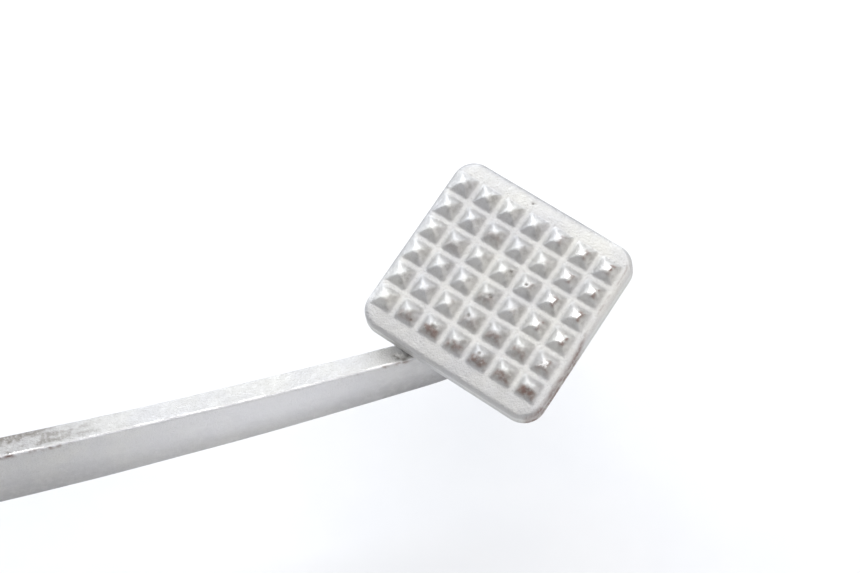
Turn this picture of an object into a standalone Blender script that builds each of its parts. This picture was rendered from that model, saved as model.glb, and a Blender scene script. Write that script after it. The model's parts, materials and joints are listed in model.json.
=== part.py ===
"""Rear brake foot lever: a studded pad on a curved, tapered arm that turns on a pivot bolt.

Metres, +Z up. The pivot axis is the Y axis. The plane Y = 0 is the seat against the vehicle's
frame, so the origin is the point where the axis meets the seat. +X runs along the arm towards
the pad, and +Y points outboard.
"""
import math

import bmesh
import bpy
from mathutils import Matrix, Vector

MM = 0.001
GAP = 0.3 * MM               # air between neighbouring pieces
FINE = 40                    # sides of a large turned piece
COARSE = 24                  # sides of a small one, or of one with a hexagon
ROUND = "round"
HEXAGON = "hexagon"

# Pivot, from the inside out
BOLT_RADIUS = 5.0 * MM
BOLT_REACH = 18.0 * MM       # thread that stands out of the seat plane
SLEEVE_BORE = BOLT_RADIUS + GAP
SLEEVE_RADIUS = 7.0 * MM
BUSH_BORE = SLEEVE_RADIUS + GAP
BUSH_RADIUS = 8.7 * MM
BUSH_FLANGE_RADIUS = 10.0 * MM
BUSH_LENGTH = 10.0 * MM
FLANGE_THICKNESS = 1.5 * MM
BOSS_BORE = BUSH_RADIUS + GAP
BOSS_RADIUS = 13.0 * MM
SPRING_SEAT_RADIUS = 11.0 * MM
WASHER_THICKNESS = 1.5 * MM
WASHER_RADIUS = 12.5 * MM
INNER_WASHER_RADIUS = 11.5 * MM
SPRING_WASHER_RADIUS = 9.0 * MM
SPRING_WASHER_THICKNESS = 1.8 * MM
BOLT_FLANGE_RADIUS = 10.5 * MM
BOLT_FLANGE_THICKNESS = 2.0 * MM
BOLT_HEAD_FLATS = 14.0 * MM
BOLT_HEAD_HEIGHT = 6.5 * MM

# Places along the pivot axis, each worked out from the one before it
INNER_WASHER_Y = GAP
BUSH_FLANGE_Y = INNER_WASHER_Y + WASHER_THICKNESS + GAP
BOSS_START_Y = BUSH_FLANGE_Y + FLANGE_THICKNESS + GAP
BOSS_SHOULDER_Y = 17.2 * MM
BOSS_END_Y = 33.0 * MM
OUTER_FLANGE_Y = BOSS_END_Y + GAP
SLEEVE_END_Y = OUTER_FLANGE_Y + FLANGE_THICKNESS + GAP
OUTER_WASHER_Y = SLEEVE_END_Y + GAP
SPRING_WASHER_Y = OUTER_WASHER_Y + WASHER_THICKNESS + GAP
BOLT_HEAD_Y = SPRING_WASHER_Y + SPRING_WASHER_THICKNESS + GAP

# Arm
ARM_Y = 24.0 * MM            # middle of the arm's thickness at the pivot
ARM_THICKNESS = 5.6 * MM
ARM_TOP = 10.4 * MM
ARM_DEPTH = 20.9 * MM        # at the pivot
ARM_TAPER = 0.0506           # depth lost for each metre along X
ARM_BEND_RADIUS = 1.39       # of its curve in plan
ARM_EDGE = 0.7 * MM
ARM_START_X = 10.0 * MM
ARM_RISE_X = 167.0 * MM      # where its underside starts to curve up to the pad
ARM_RISE_RADIUS = 72.0 * MM
ARM_TOE_X = 196.0 * MM       # where its end starts to round off
ARM_TOE_HEIGHT = 6.0 * MM
ARM_END_X = 203.0 * MM
ARM_STEPS = 28
TOE_STEPS = 6

# Foot pad. Its own axes: x along the rows of studs, z out of its top face.
PAD_CENTRE = Vector((185.4, 38.6, 23.3)) * MM
PAD_LEAN = math.radians(22.4)
PAD_TIP_BACK = math.radians(-10.4)
PAD_TWIST = math.radians(-45.0)
PAD_THICKNESS = 5.7 * MM
PAD_LEFT = -23.9 * MM
PAD_RIGHT = 25.0 * MM
PAD_NEAR = -24.0 * MM
PAD_FAR = 23.7 * MM
PAD_CORNER = 5.0 * MM
PAD_CHAMFER = 0.6 * MM
CORNER_STEPS = 5
STUD_COLUMNS = 7
STUD_ROWS = 6
STUD_PITCH = 6.6 * MM
STUD_BASE = 5.4 * MM
STUD_TIP = 0.7 * MM
STUD_HEIGHT = 2.3 * MM

# Rear lever, clevis and pushrod
PIN_X = -38.0 * MM
PIN_RADIUS = 3.0 * MM
PIN_HEAD_RADIUS = 4.7 * MM
PIN_HEAD_HEIGHT = 2.2 * MM
LEVER_EYE_RADIUS = 6.8 * MM
LEVER_ROOT_HEIGHT = 9.5 * MM
LEVER_THICKNESS = ARM_THICKNESS
CLEVIS_EAR = 3.2 * MM
CLEVIS_SLOT = LEVER_THICKNESS + 2 * GAP
CLEVIS_HALF_WIDTH = 6.5 * MM
CLEVIS_SLOT_DEPTH = 12.0 * MM
CLEVIS_LENGTH = 22.0 * MM
CLEVIS_CHAMFER = 1.2 * MM
ROD_RADIUS = 3.0 * MM
ROD_END_Z = -36.0 * MM
NUT_FLATS = 10.0 * MM
NUT_HEIGHT = 5.0 * MM
PIN_WASHER_RADIUS = 6.0 * MM
PIN_WASHER_THICKNESS = 1.2 * MM
SPLIT_WIRE = 0.45 * MM
SPLIT_HOLE = 1.25 * MM
SPLIT_SPREAD = 0.62 * MM     # middle of the pin to the middle of each leg's wire

# Height stop
STOP_X = -21.5 * MM
STOP_Y = 9.0 * MM
STOP_RADIUS = 3.0 * MM
STOP_TOP_Z = 14.0 * MM
STOP_HEAD_Z = -18.0 * MM
STOP_HEAD_HEIGHT = 4.0 * MM
LUG_LENGTH = 10.5 * MM
LUG_INNER_Y = 4.0 * MM
LUG_BOTTOM_Z = -5.0 * MM
LUG_TOP_Z = 4.0 * MM

# Return spring
WIRE_RADIUS = 1.25 * MM
COIL_RADIUS = SPRING_SEAT_RADIUS + 0.7 * MM + WIRE_RADIUS
COIL_START_Y = 5.6 * MM
COIL_PITCH = 2.9 * MM
COIL_TURNS = 3
COIL_STEPS = 18              # points in each turn
FIXED_LEG_Z = -22.0 * MM
FIXED_HOOK_Y = -6.0 * MM
MOVING_LEG_X = 34.0 * MM
MOVING_HOOK_Y = ARM_Y + 4.5 * MM
HOOK_BEND = 2.5 * MM

WELD_LEG = 2.4 * MM
PAD_WELD_START = 176.0 * MM
PAD_WELD_END = 197.0 * MM
FRONT_WELD_SPAN = math.radians(41)
REAR_WELD_SPAN = math.radians(35)


def clear_scene():
    for thing in list(bpy.data.objects):
        bpy.data.objects.remove(thing)


def finish(name, colour, roughness, metallic):
    made = bpy.data.materials.new(name)
    made.use_nodes = True
    shader = made.node_tree.nodes["Principled BSDF"]
    shader.inputs["Base Color"].default_value = (*colour, 1.0)
    shader.inputs["Roughness"].default_value = roughness
    shader.inputs["Metallic"].default_value = metallic
    return made


def make_finishes():
    return {
        "silver_paint": finish("silver_paint", (0.56, 0.57, 0.57), 0.5, 0.4),
        "zinc": finish("zinc", (0.62, 0.62, 0.6), 0.35, 1.0),
        "spring_steel": finish("spring_steel", (0.3, 0.31, 0.32), 0.35, 1.0),
        "bronze": finish("bronze", (0.55, 0.38, 0.18), 0.4, 1.0),
        "rubber": finish("rubber", (0.03, 0.03, 0.03), 0.8, 0.0),
    }


def empty(name, place):
    made = bpy.data.objects.new(name, None)
    made.location = place
    bpy.context.collection.objects.link(made)
    return made


def face_out(bm):
    bmesh.ops.recalc_face_normals(bm, faces=bm.faces)
    if bm.calc_volume(signed=True) < 0:
        bmesh.ops.reverse_faces(bm, faces=bm.faces)


def add_object(name, bm, material, parent=None):
    """Turn a closed bmesh into a named object, smooth where its faces meet at a small angle."""
    face_out(bm)
    mesh = bpy.data.meshes.new(name)
    bm.to_mesh(mesh)
    bm.free()
    mesh.shade_smooth()
    mesh.set_sharp_from_angle(angle=math.radians(35))
    mesh.materials.append(material)
    made = bpy.data.objects.new(name, mesh)
    made.parent = parent
    bpy.context.collection.objects.link(made)
    return made


def join_loops(bm, first, second):
    """Close the band between two loops of vertices. A loop of one vertex makes a fan."""
    count = max(len(first), len(second))
    for step in range(count):
        after = (step + 1) % count
        corners = [first[step % len(first)], first[after % len(first)],
                   second[after % len(second)], second[step % len(second)]]
        bm.faces.new(list(dict.fromkeys(corners)))


def lathe(rings, sides, closed=False):
    """Turn rings about the Y axis. A ring is (size, y, shape), with size its radius or half its flats."""
    bm = bmesh.new()
    sixth = math.pi / 3
    loops = []
    for size, y, shape in rings:
        if size == 0:
            loops.append([bm.verts.new((0, y, 0))])
            continue
        loop = []
        for step in range(sides):
            angle = 2 * math.pi * step / sides
            stretch = math.cos(angle % sixth - sixth / 2) if shape == HEXAGON else 1.0
            reach = size / stretch
            loop.append(bm.verts.new((reach * math.cos(angle), y, reach * math.sin(angle))))
        loops.append(loop)
    for first, second in zip(loops, loops[1:]):
        join_loops(bm, first, second)
    if closed:
        join_loops(bm, loops[-1], loops[0])
    return bm


def washer(inner, outer, start, end, sides=FINE):
    rings = [(inner, start, ROUND), (outer, start, ROUND), (outer, end, ROUND), (inner, end, ROUND)]
    return lathe(rings, sides, closed=True)


def nut(inner, flats, start, end):
    """A hexagon nut with its corners turned down at both ends."""
    half = flats / 2
    ease = 0.4 * MM
    rings = [
        (inner, start, ROUND), (half, start, ROUND), (half, start + ease, HEXAGON),
        (half, end - ease, HEXAGON), (half, end, ROUND), (inner, end, ROUND),
    ]
    return lathe(rings, COARSE, closed=True)


def loft(loops):
    """Join equal loops of points into one closed body with flat ends."""
    bm = bmesh.new()
    rows = [[bm.verts.new(point) for point in loop] for loop in loops]
    for first, second in zip(rows, rows[1:]):
        join_loops(bm, first, second)
    bm.faces.new(rows[0])
    bm.faces.new(rows[-1])
    return bm


def arc_points(centre_x, centre_z, radius, start, end, steps):
    points = []
    for step in range(steps + 1):
        angle = start + (end - start) * step / steps
        points.append((centre_x + radius * math.cos(angle), centre_z + radius * math.sin(angle)))
    return points


def slab(outline, low, high):
    """Extrude an outline in X and Z along Y."""
    return loft([[(x, y, z) for x, z in outline] for y in (low, high)])


def box(low, high):
    bm = bmesh.new()
    bmesh.ops.create_cube(bm, size=1.0)
    size = Vector(high) - Vector(low)
    bmesh.ops.scale(bm, vec=size, verts=bm.verts)
    bmesh.ops.translate(bm, vec=Vector(low) + size / 2, verts=bm.verts)
    return bm


def rod(radius, start, end, sides=COARSE):
    """A plain cylinder between two points."""
    along = Vector(end) - Vector(start)
    bm = bmesh.new()
    turn = along.to_track_quat("Z", "Y").to_matrix().to_4x4()
    place = Matrix.Translation(Vector(start) + along / 2) @ turn
    bmesh.ops.create_cone(bm, cap_ends=True, segments=sides, radius1=radius, radius2=radius,
                          depth=along.length, matrix=place)
    return bm


def cut(target, name, bm, parent):
    """Take a shape away from an object. The cutter stays in the file as a wire guide."""
    cutter = add_object(name, bm, target.data.materials[0], parent)
    cutter.hide_render = True
    cutter.display_type = "WIRE"
    difference = target.modifiers.new(name, "BOOLEAN")
    difference.operation = "DIFFERENCE"
    difference.object = cutter


def wire(name, points, radius, resolution, material, parent):
    """A round wire along a row of points, with its ends closed."""
    curve = bpy.data.curves.new(name, "CURVE")
    curve.dimensions = "3D"
    curve.bevel_depth = radius
    curve.bevel_resolution = resolution
    curve.use_fill_caps = True
    spline = curve.splines.new("POLY")
    spline.points.add(len(points) - 1)
    for knot, point in zip(spline.points, points):
        knot.co = (*point, 1.0)
    spline.use_smooth = True
    curve.materials.append(material)
    made = bpy.data.objects.new(name, curve)
    made.parent = parent
    bpy.context.collection.objects.link(made)
    return made


def bend(before, corner, after, radius, steps=4):
    """Points round a bend of the given reach, in place of a sharp corner."""
    corner = Vector(corner)
    start = corner + (Vector(before) - corner).normalized() * radius
    end = corner + (Vector(after) - corner).normalized() * radius
    points = []
    for step in range(steps + 1):
        t = step / steps
        points.append(start * (1 - t) ** 2 + corner * 2 * t * (1 - t) + end * t ** 2)
    return points


def pad_matrix():
    turn = (Matrix.Rotation(PAD_LEAN, 4, "X") @ Matrix.Rotation(PAD_TIP_BACK, 4, "Y")
            @ Matrix.Rotation(PAD_TWIST, 4, "Z"))
    return Matrix.Translation(PAD_CENTRE) @ turn


def arm_middle(x):
    return ARM_Y + x * x / (2 * ARM_BEND_RADIUS)


def pad_underside(x, y):
    """Height of the pad's underside above a point."""
    normal = pad_matrix().to_3x3() @ Vector((0, 0, 1))
    beside = normal.x * (x - PAD_CENTRE.x) + normal.y * (y - PAD_CENTRE.y)
    return PAD_CENTRE.z - (PAD_THICKNESS + beside) / normal.z


def arm_bottom(x):
    """Height of the arm's underside: a straight taper, a bend up to the pad, and a rounded toe."""
    taper = ARM_TOP - ARM_DEPTH + ARM_TAPER * x
    rise = max(0.0, x - ARM_RISE_X) ** 2 / (2 * ARM_RISE_RADIUS)
    toe = max(0.0, x - ARM_TOE_X) / (ARM_END_X - ARM_TOE_X)
    return taper + rise + ARM_TOE_HEIGHT * (1 - math.sqrt(1 - toe * toe))


def arm_section(x):
    """The arm's bar section at one place: a tall rectangle with eased edges."""
    middle = arm_middle(x)
    near = middle - ARM_THICKNESS / 2
    far = middle + ARM_THICKNESS / 2
    top = max(ARM_TOP, pad_underside(x, far) + ARM_EDGE)
    bottom = arm_bottom(x)
    return [
        (x, near, bottom + ARM_EDGE), (x, near + ARM_EDGE, bottom),
        (x, far - ARM_EDGE, bottom), (x, far, bottom + ARM_EDGE),
        (x, far, top - ARM_EDGE), (x, far - ARM_EDGE, top),
        (x, near + ARM_EDGE, top), (x, near, top - ARM_EDGE),
    ]


def boss_clearance():
    return rod(BOSS_RADIUS + GAP, (0, ARM_Y - 15 * MM, 0), (0, ARM_Y + 15 * MM, 0), FINE)


def pad_seat():
    """The pad's own space, a little larger, as a block that trims the arm's top."""
    bm = box((PAD_LEFT - GAP, PAD_NEAR - GAP, -PAD_THICKNESS - GAP), (PAD_RIGHT, PAD_FAR, 20 * MM))
    bmesh.ops.transform(bm, matrix=pad_matrix(), verts=bm.verts)
    return bm


def make_arm(finishes, pivot):
    places = [ARM_START_X + (ARM_TOE_X - ARM_START_X) * step / ARM_STEPS for step in range(ARM_STEPS)]
    places += [ARM_TOE_X + (ARM_END_X - ARM_TOE_X) * step / TOE_STEPS for step in range(TOE_STEPS + 1)]
    arm = add_object("pedal_arm", loft([arm_section(x) for x in places]), finishes["silver_paint"], pivot)
    cut(arm, "arm_root_cutter", boss_clearance(), pivot)
    cut(arm, "pad_seat_cutter", pad_seat(), pivot)


def pad_outline(inset):
    """The pad's outline, drawn in by inset, as points round its four corners."""
    radius = PAD_CORNER - inset
    corners = [
        (PAD_RIGHT - PAD_CORNER, PAD_FAR - PAD_CORNER, 0.0),
        (PAD_LEFT + PAD_CORNER, PAD_FAR - PAD_CORNER, 0.5),
        (PAD_LEFT + PAD_CORNER, PAD_NEAR + PAD_CORNER, 1.0),
        (PAD_RIGHT - PAD_CORNER, PAD_NEAR + PAD_CORNER, 1.5),
    ]
    points = []
    for x, y, turn in corners:
        points += arc_points(x, y, radius, turn * math.pi, (turn + 0.5) * math.pi, CORNER_STEPS)
    return points


def stud_lines(count):
    """Both edges of each stud's base, along one axis."""
    lines = []
    for index in range(count):
        middle = (index - (count - 1) / 2) * STUD_PITCH
        lines += [middle - STUD_BASE / 2, middle + STUD_BASE / 2]
    return lines


def add_stud(bm, base):
    """Raise one blunt pyramid from the four corners of its base."""
    middle = sum((corner.co for corner in base), Vector()) / 4
    tip = []
    for corner in base:
        offset = (corner.co - middle) * STUD_TIP / STUD_BASE
        tip.append(bm.verts.new(middle + offset + Vector((0, 0, STUD_HEIGHT))))
    join_loops(bm, base, tip)
    bm.faces.new(tip)


def add_stud_field(bm):
    """The flat lands and the studs between them. Returns the field's outer edges."""
    columns = stud_lines(STUD_COLUMNS)
    rows = stud_lines(STUD_ROWS)
    grid = [[bm.verts.new((x, y, 0)) for y in rows] for x in columns]
    for column in range(len(columns) - 1):
        for row in range(len(rows) - 1):
            corners = [grid[column][row], grid[column + 1][row],
                       grid[column + 1][row + 1], grid[column][row + 1]]
            if column % 2 == 0 and row % 2 == 0:
                add_stud(bm, corners)
            else:
                bm.faces.new(corners)
    return [edge for edge in bm.edges if len(edge.link_faces) == 1]


def make_pad(finishes, pivot):
    bm = bmesh.new()
    inner_edges = add_stud_field(bm)
    levels = [(PAD_CHAMFER, 0.0), (0.0, -PAD_CHAMFER), (0.0, -PAD_THICKNESS + PAD_CHAMFER),
              (PAD_CHAMFER, -PAD_THICKNESS)]
    rings = [[bm.verts.new((x, y, z)) for x, y in pad_outline(inset)] for inset, z in levels]
    for first, second in zip(rings, rings[1:]):
        join_loops(bm, first, second)
    bm.faces.new(rings[-1])
    top = rings[0]
    outer_edges = [bm.edges.get((top[step - 1], top[step])) for step in range(len(top))]
    bmesh.ops.triangle_fill(bm, edges=outer_edges + inner_edges, use_beauty=True)
    pad = add_object("foot_pad", bm, finishes["silver_paint"], pivot)
    pad.matrix_local = pad_matrix()


def make_pad_weld(name, side, finishes, pivot):
    """A fillet along one side of the arm, in the corner under the pad. side is -1 near, 1 far."""
    loops = []
    steps = 8
    for step in range(steps + 1):
        x = PAD_WELD_START + (PAD_WELD_END - PAD_WELD_START) * step / steps
        inner = arm_middle(x) + side * (ARM_THICKNESS / 2 + GAP)
        outer = inner + side * WELD_LEG
        clear = GAP / math.cos(PAD_LEAN)
        corner = (x, inner, pad_underside(x, inner) - clear)
        tip = (x, outer, pad_underside(x, outer) - clear)
        foot = (x, inner, pad_underside(x, inner) - clear - WELD_LEG)
        loops.append([corner, tip, foot])
    add_object(name, loft(loops), finishes["silver_paint"], pivot)


def make_ring_weld(name, side, facing, span, finishes, pivot):
    """A fillet round the boss, beside the plate that meets it. facing is 0 for front, pi for rear."""
    inner = BOSS_RADIUS + GAP
    face = ARM_Y + side * (ARM_THICKNESS / 2 + GAP)
    section = [(inner, face), (inner + WELD_LEG, face), (inner, face + side * WELD_LEG)]
    loops = []
    steps = 12
    for step in range(steps + 1):
        angle = facing - span + 2 * span * step / steps
        loops.append([(radius * math.cos(angle), y, radius * math.sin(angle)) for radius, y in section])
    add_object(name, loft(loops), finishes["silver_paint"], pivot)


def make_boss(finishes, pivot):
    ease = 0.8 * MM
    rings = [
        (BOSS_BORE, BOSS_START_Y, ROUND),
        (SPRING_SEAT_RADIUS, BOSS_START_Y, ROUND),
        (SPRING_SEAT_RADIUS, BOSS_SHOULDER_Y, ROUND),
        (BOSS_RADIUS - ease, BOSS_SHOULDER_Y, ROUND),
        (BOSS_RADIUS, BOSS_SHOULDER_Y + ease, ROUND),
        (BOSS_RADIUS, BOSS_END_Y - ease, ROUND),
        (BOSS_RADIUS - ease, BOSS_END_Y, ROUND),
        (BOSS_BORE, BOSS_END_Y, ROUND),
    ]
    add_object("pivot_boss", lathe(rings, FINE, closed=True), finishes["silver_paint"], pivot)


def make_bush(name, flange, direction, finishes, pivot):
    """A flanged bush. Its flange's outer face is at flange, and its barrel runs along direction."""
    inner_face = flange + direction * FLANGE_THICKNESS
    end = inner_face + direction * BUSH_LENGTH
    rings = [
        (BUSH_BORE, flange, ROUND), (BUSH_FLANGE_RADIUS, flange, ROUND),
        (BUSH_FLANGE_RADIUS, inner_face, ROUND), (BUSH_RADIUS, inner_face, ROUND),
        (BUSH_RADIUS, end, ROUND), (BUSH_BORE, end, ROUND),
    ]
    add_object(name, lathe(rings, FINE, closed=True), finishes["bronze"], pivot)


def make_seal(name, start, outer, finishes, pivot):
    inner = BUSH_FLANGE_RADIUS + GAP
    seal = washer(inner, outer, start, start + FLANGE_THICKNESS)
    add_object(name, seal, finishes["rubber"], pivot)


def make_pivot_fixings(finishes, frame_side):
    sleeve = washer(SLEEVE_BORE, SLEEVE_RADIUS, 0, SLEEVE_END_Y)
    add_object("pivot_sleeve", sleeve, finishes["zinc"], frame_side)
    inner_end = INNER_WASHER_Y + WASHER_THICKNESS
    inner = washer(SLEEVE_RADIUS + GAP, INNER_WASHER_RADIUS, INNER_WASHER_Y, inner_end)
    add_object("thrust_washer_inboard", inner, finishes["zinc"], frame_side)
    outer = washer(SLEEVE_BORE, WASHER_RADIUS, OUTER_WASHER_Y, OUTER_WASHER_Y + WASHER_THICKNESS)
    add_object("thrust_washer_outboard", outer, finishes["zinc"], frame_side)
    end = SPRING_WASHER_Y + SPRING_WASHER_THICKNESS
    split = washer(SLEEVE_BORE, SPRING_WASHER_RADIUS, SPRING_WASHER_Y, end)
    spring_washer = add_object("spring_washer", split, finishes["zinc"], frame_side)
    gap_half = 0.5 * MM
    slit = box((SLEEVE_RADIUS - 3 * MM, SPRING_WASHER_Y - 1 * MM, -gap_half),
               (WASHER_RADIUS, SPRING_WASHER_Y + 4 * MM, gap_half))
    cut(spring_washer, "spring_washer_slit_cutter", slit, frame_side)


def make_pivot_bolt(finishes, frame_side):
    ease = 0.8 * MM
    half = BOLT_HEAD_FLATS / 2
    collar = BOLT_HEAD_Y + BOLT_FLANGE_THICKNESS
    top = collar + BOLT_HEAD_HEIGHT
    rings = [
        (0, -BOLT_REACH, ROUND), (BOLT_RADIUS - ease, -BOLT_REACH, ROUND),
        (BOLT_RADIUS, -BOLT_REACH + ease, ROUND), (BOLT_RADIUS, BOLT_HEAD_Y, ROUND),
        (BOLT_FLANGE_RADIUS, BOLT_HEAD_Y, ROUND), (BOLT_FLANGE_RADIUS, BOLT_HEAD_Y + ease, ROUND),
        (half / math.cos(math.pi / 6) + 0.2 * MM, collar, ROUND), (half, collar, HEXAGON),
        (half, top - ease, HEXAGON), (half - 0.4 * MM, top, ROUND), (0, top, ROUND),
    ]
    add_object("pivot_bolt", lathe(rings, COARSE), finishes["zinc"], frame_side)


def spring_path():
    """The spring's wire: a leg down to the frame, the coil, and a leg that hooks under the arm."""
    leg_end = Vector((MOVING_LEG_X, 0, arm_bottom(MOVING_LEG_X) - GAP - WIRE_RADIUS))
    leave = math.atan2(leg_end.z, leg_end.x) + math.acos(COIL_RADIUS / leg_end.length)
    start = math.pi
    swept = start - leave + 2 * math.pi * COIL_TURNS
    count = round(COIL_STEPS * swept / (2 * math.pi))
    coil = []
    for step in range(count + 1):
        angle = start - swept * step / count
        y = COIL_START_Y + COIL_PITCH * swept * step / count / (2 * math.pi)
        coil.append(Vector((COIL_RADIUS * math.cos(angle), y, COIL_RADIUS * math.sin(angle))))
    outer_y = coil[-1].y
    low = Vector((-COIL_RADIUS, COIL_START_Y, FIXED_LEG_Z))
    hook = Vector((-COIL_RADIUS, FIXED_HOOK_Y, FIXED_LEG_Z))
    elbow = Vector((leg_end.x, outer_y, leg_end.z))
    under = Vector((leg_end.x, MOVING_HOOK_Y, leg_end.z))
    fixed_leg = [hook] + bend(hook, low, coil[0], HOOK_BEND)
    moving_leg = bend(coil[-1], elbow, under, HOOK_BEND) + [under]
    return fixed_leg + coil + moving_leg


def make_rod_lever(finishes, pivot):
    eye = arc_points(PIN_X, 0, LEVER_EYE_RADIUS, math.radians(95), math.radians(265), 14)
    root_x = -9 * MM
    outline = [(root_x, LEVER_ROOT_HEIGHT)] + eye + [(root_x, -LEVER_ROOT_HEIGHT)]
    low = ARM_Y - LEVER_THICKNESS / 2
    high = ARM_Y + LEVER_THICKNESS / 2
    lever = add_object("rod_lever", slab(outline, low, high), finishes["silver_paint"], pivot)
    cut(lever, "lever_root_cutter", boss_clearance(), pivot)
    hole = rod(PIN_RADIUS + GAP, (PIN_X, low - 1 * MM, 0), (PIN_X, high + 1 * MM, 0))
    cut(lever, "lever_eye_cutter", hole, pivot)


def make_grease_nipple(finishes, pivot):
    """A nipple that points up and back out of the boss."""
    base = BOSS_RADIUS + GAP
    rings = [
        (0, base, ROUND), (2.2 * MM, base, ROUND), (2.2 * MM, base + 0.8 * MM, ROUND),
        (3.5 * MM, base + 0.8 * MM, HEXAGON), (3.5 * MM, base + 4.2 * MM, HEXAGON),
        (2.2 * MM, base + 4.6 * MM, ROUND), (1.6 * MM, base + 6.2 * MM, ROUND),
        (2.4 * MM, base + 7.2 * MM, ROUND), (2.4 * MM, base + 8.2 * MM, ROUND),
        (1.1 * MM, base + 9.6 * MM, ROUND), (0, base + 9.6 * MM, ROUND),
    ]
    nipple = add_object("grease_nipple", lathe(rings, COARSE), finishes["zinc"], pivot)
    nipple.location = (0, ARM_Y, 0)
    nipple.rotation_euler = (Matrix.Rotation(math.radians(-25), 3, "Y")
                             @ Matrix.Rotation(math.radians(90), 3, "X")).to_euler()


def make_stop(finishes, pivot, stop_axis):
    lever_face = ARM_Y - LEVER_THICKNESS / 2
    half = LUG_LENGTH / 2
    lug_box = box((STOP_X - half, LUG_INNER_Y, LUG_BOTTOM_Z), (STOP_X + half, lever_face - GAP, LUG_TOP_Z))
    bmesh.ops.bevel(lug_box, geom=lug_box.edges, offset=0.8 * MM, segments=1, affect="EDGES")
    lug = add_object("stop_lug", lug_box, finishes["silver_paint"], pivot)
    below = (STOP_X, STOP_Y, LUG_BOTTOM_Z - 2 * MM)
    above = (STOP_X, STOP_Y, LUG_TOP_Z + 2 * MM)
    cut(lug, "stop_hole_cutter", rod(STOP_RADIUS + GAP, below, above), pivot)
    ring = nut(STOP_RADIUS + GAP, NUT_FLATS, 0, NUT_HEIGHT)
    locknut = add_object("stop_locknut", ring, finishes["zinc"], pivot)
    locknut.location = (STOP_X, STOP_Y, LUG_TOP_Z + GAP)
    locknut.rotation_euler = (math.pi / 2, 0, 0)
    ease = 0.5 * MM
    half_head = NUT_FLATS / 2
    length = STOP_TOP_Z - STOP_HEAD_Z
    rings = [
        (0, 0, ROUND), (half_head - ease, 0, ROUND), (half_head, ease, HEXAGON),
        (half_head, STOP_HEAD_HEIGHT, HEXAGON), (STOP_RADIUS, STOP_HEAD_HEIGHT, ROUND),
        (STOP_RADIUS, length - ease, ROUND), (STOP_RADIUS - ease, length, ROUND), (0, length, ROUND),
    ]
    bolt = add_object("stop_bolt", lathe(rings, COARSE), finishes["zinc"], stop_axis)
    bolt.location = (0, 0, STOP_HEAD_Z)
    bolt.rotation_euler = (math.pi / 2, 0, 0)


def make_clevis(finishes, clevis_axis):
    """The fork hangs from the pin, so its own z is minus the distance from the pin."""
    half_depth = CLEVIS_SLOT / 2 + CLEVIS_EAR
    side = CLEVIS_HALF_WIDTH
    top = arc_points(0, 0, side, 0, math.pi, 14)
    foot = [(-side, -CLEVIS_LENGTH + CLEVIS_CHAMFER), (-side + CLEVIS_CHAMFER, -CLEVIS_LENGTH),
            (side - CLEVIS_CHAMFER, -CLEVIS_LENGTH), (side, -CLEVIS_LENGTH + CLEVIS_CHAMFER)]
    fork = add_object("clevis", slab(top + foot, -half_depth, half_depth), finishes["zinc"], clevis_axis)
    past = side + 2 * MM
    slot = box((-past, -CLEVIS_SLOT / 2, -CLEVIS_SLOT_DEPTH), (past, CLEVIS_SLOT / 2, past))
    cut(fork, "clevis_slot_cutter", slot, clevis_axis)
    hole = rod(PIN_RADIUS + GAP, (0, -half_depth - 1 * MM, 0), (0, half_depth + 1 * MM, 0))
    cut(fork, "clevis_pin_cutter", hole, clevis_axis)
    socket = rod(ROD_RADIUS + GAP, (0, 0, -CLEVIS_LENGTH - 2 * MM), (0, 0, -CLEVIS_SLOT_DEPTH + 2 * MM))
    cut(fork, "clevis_socket_cutter", socket, clevis_axis)


def make_clevis_pin(finishes, clevis_axis):
    half_depth = CLEVIS_SLOT / 2 + CLEVIS_EAR
    head = -half_depth - GAP
    washer_start = half_depth + GAP
    washer_end = washer_start + PIN_WASHER_THICKNESS
    split_y = washer_end + GAP + SPLIT_HOLE
    end = split_y + 2.2 * MM
    ease = 0.5 * MM
    rings = [
        (0, head - PIN_HEAD_HEIGHT, ROUND), (PIN_HEAD_RADIUS - ease, head - PIN_HEAD_HEIGHT, ROUND),
        (PIN_HEAD_RADIUS, head - PIN_HEAD_HEIGHT + ease, ROUND), (PIN_HEAD_RADIUS, head, ROUND),
        (PIN_RADIUS, head, ROUND), (PIN_RADIUS, end - ease, ROUND),
        (PIN_RADIUS - ease, end, ROUND), (0, end, ROUND),
    ]
    pin = add_object("clevis_pin", lathe(rings, COARSE), finishes["zinc"], clevis_axis)
    cross_hole = rod(SPLIT_HOLE, (0, split_y, -2 * PIN_RADIUS), (0, split_y, 2 * PIN_RADIUS), 12)
    cut(pin, "split_pin_cutter", cross_hole, clevis_axis)
    ring = washer(PIN_RADIUS + GAP, PIN_WASHER_RADIUS, washer_start, washer_end, COARSE)
    add_object("clevis_pin_washer", ring, finishes["zinc"], clevis_axis)
    make_split_pin(split_y, finishes, clevis_axis)


def make_split_pin(y, finishes, clevis_axis):
    """A split pin down through the clevis pin: an eye above, and two legs bent apart below."""
    eye_radius = 1.5 * MM
    eye_middle = PIN_RADIUS + 2.6 * MM
    bent_z = -PIN_RADIUS - 1.6 * MM
    tip_x = 3.4 * MM
    opening = math.asin(SPLIT_SPREAD / eye_radius)
    eye = arc_points(0, eye_middle, eye_radius, -math.pi / 2 + opening, 1.5 * math.pi - opening, 12)
    right_leg = [(tip_x, bent_z - 1.2 * MM), (1.6 * MM, bent_z), (SPLIT_SPREAD, -PIN_RADIUS + 0.2 * MM)]
    left_leg = [(-x, z) for x, z in reversed(right_leg)]
    points = [Vector((x, y, z)) for x, z in right_leg + eye + left_leg]
    wire("clevis_split_pin", points, SPLIT_WIRE, 2, finishes["zinc"], clevis_axis)


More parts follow.
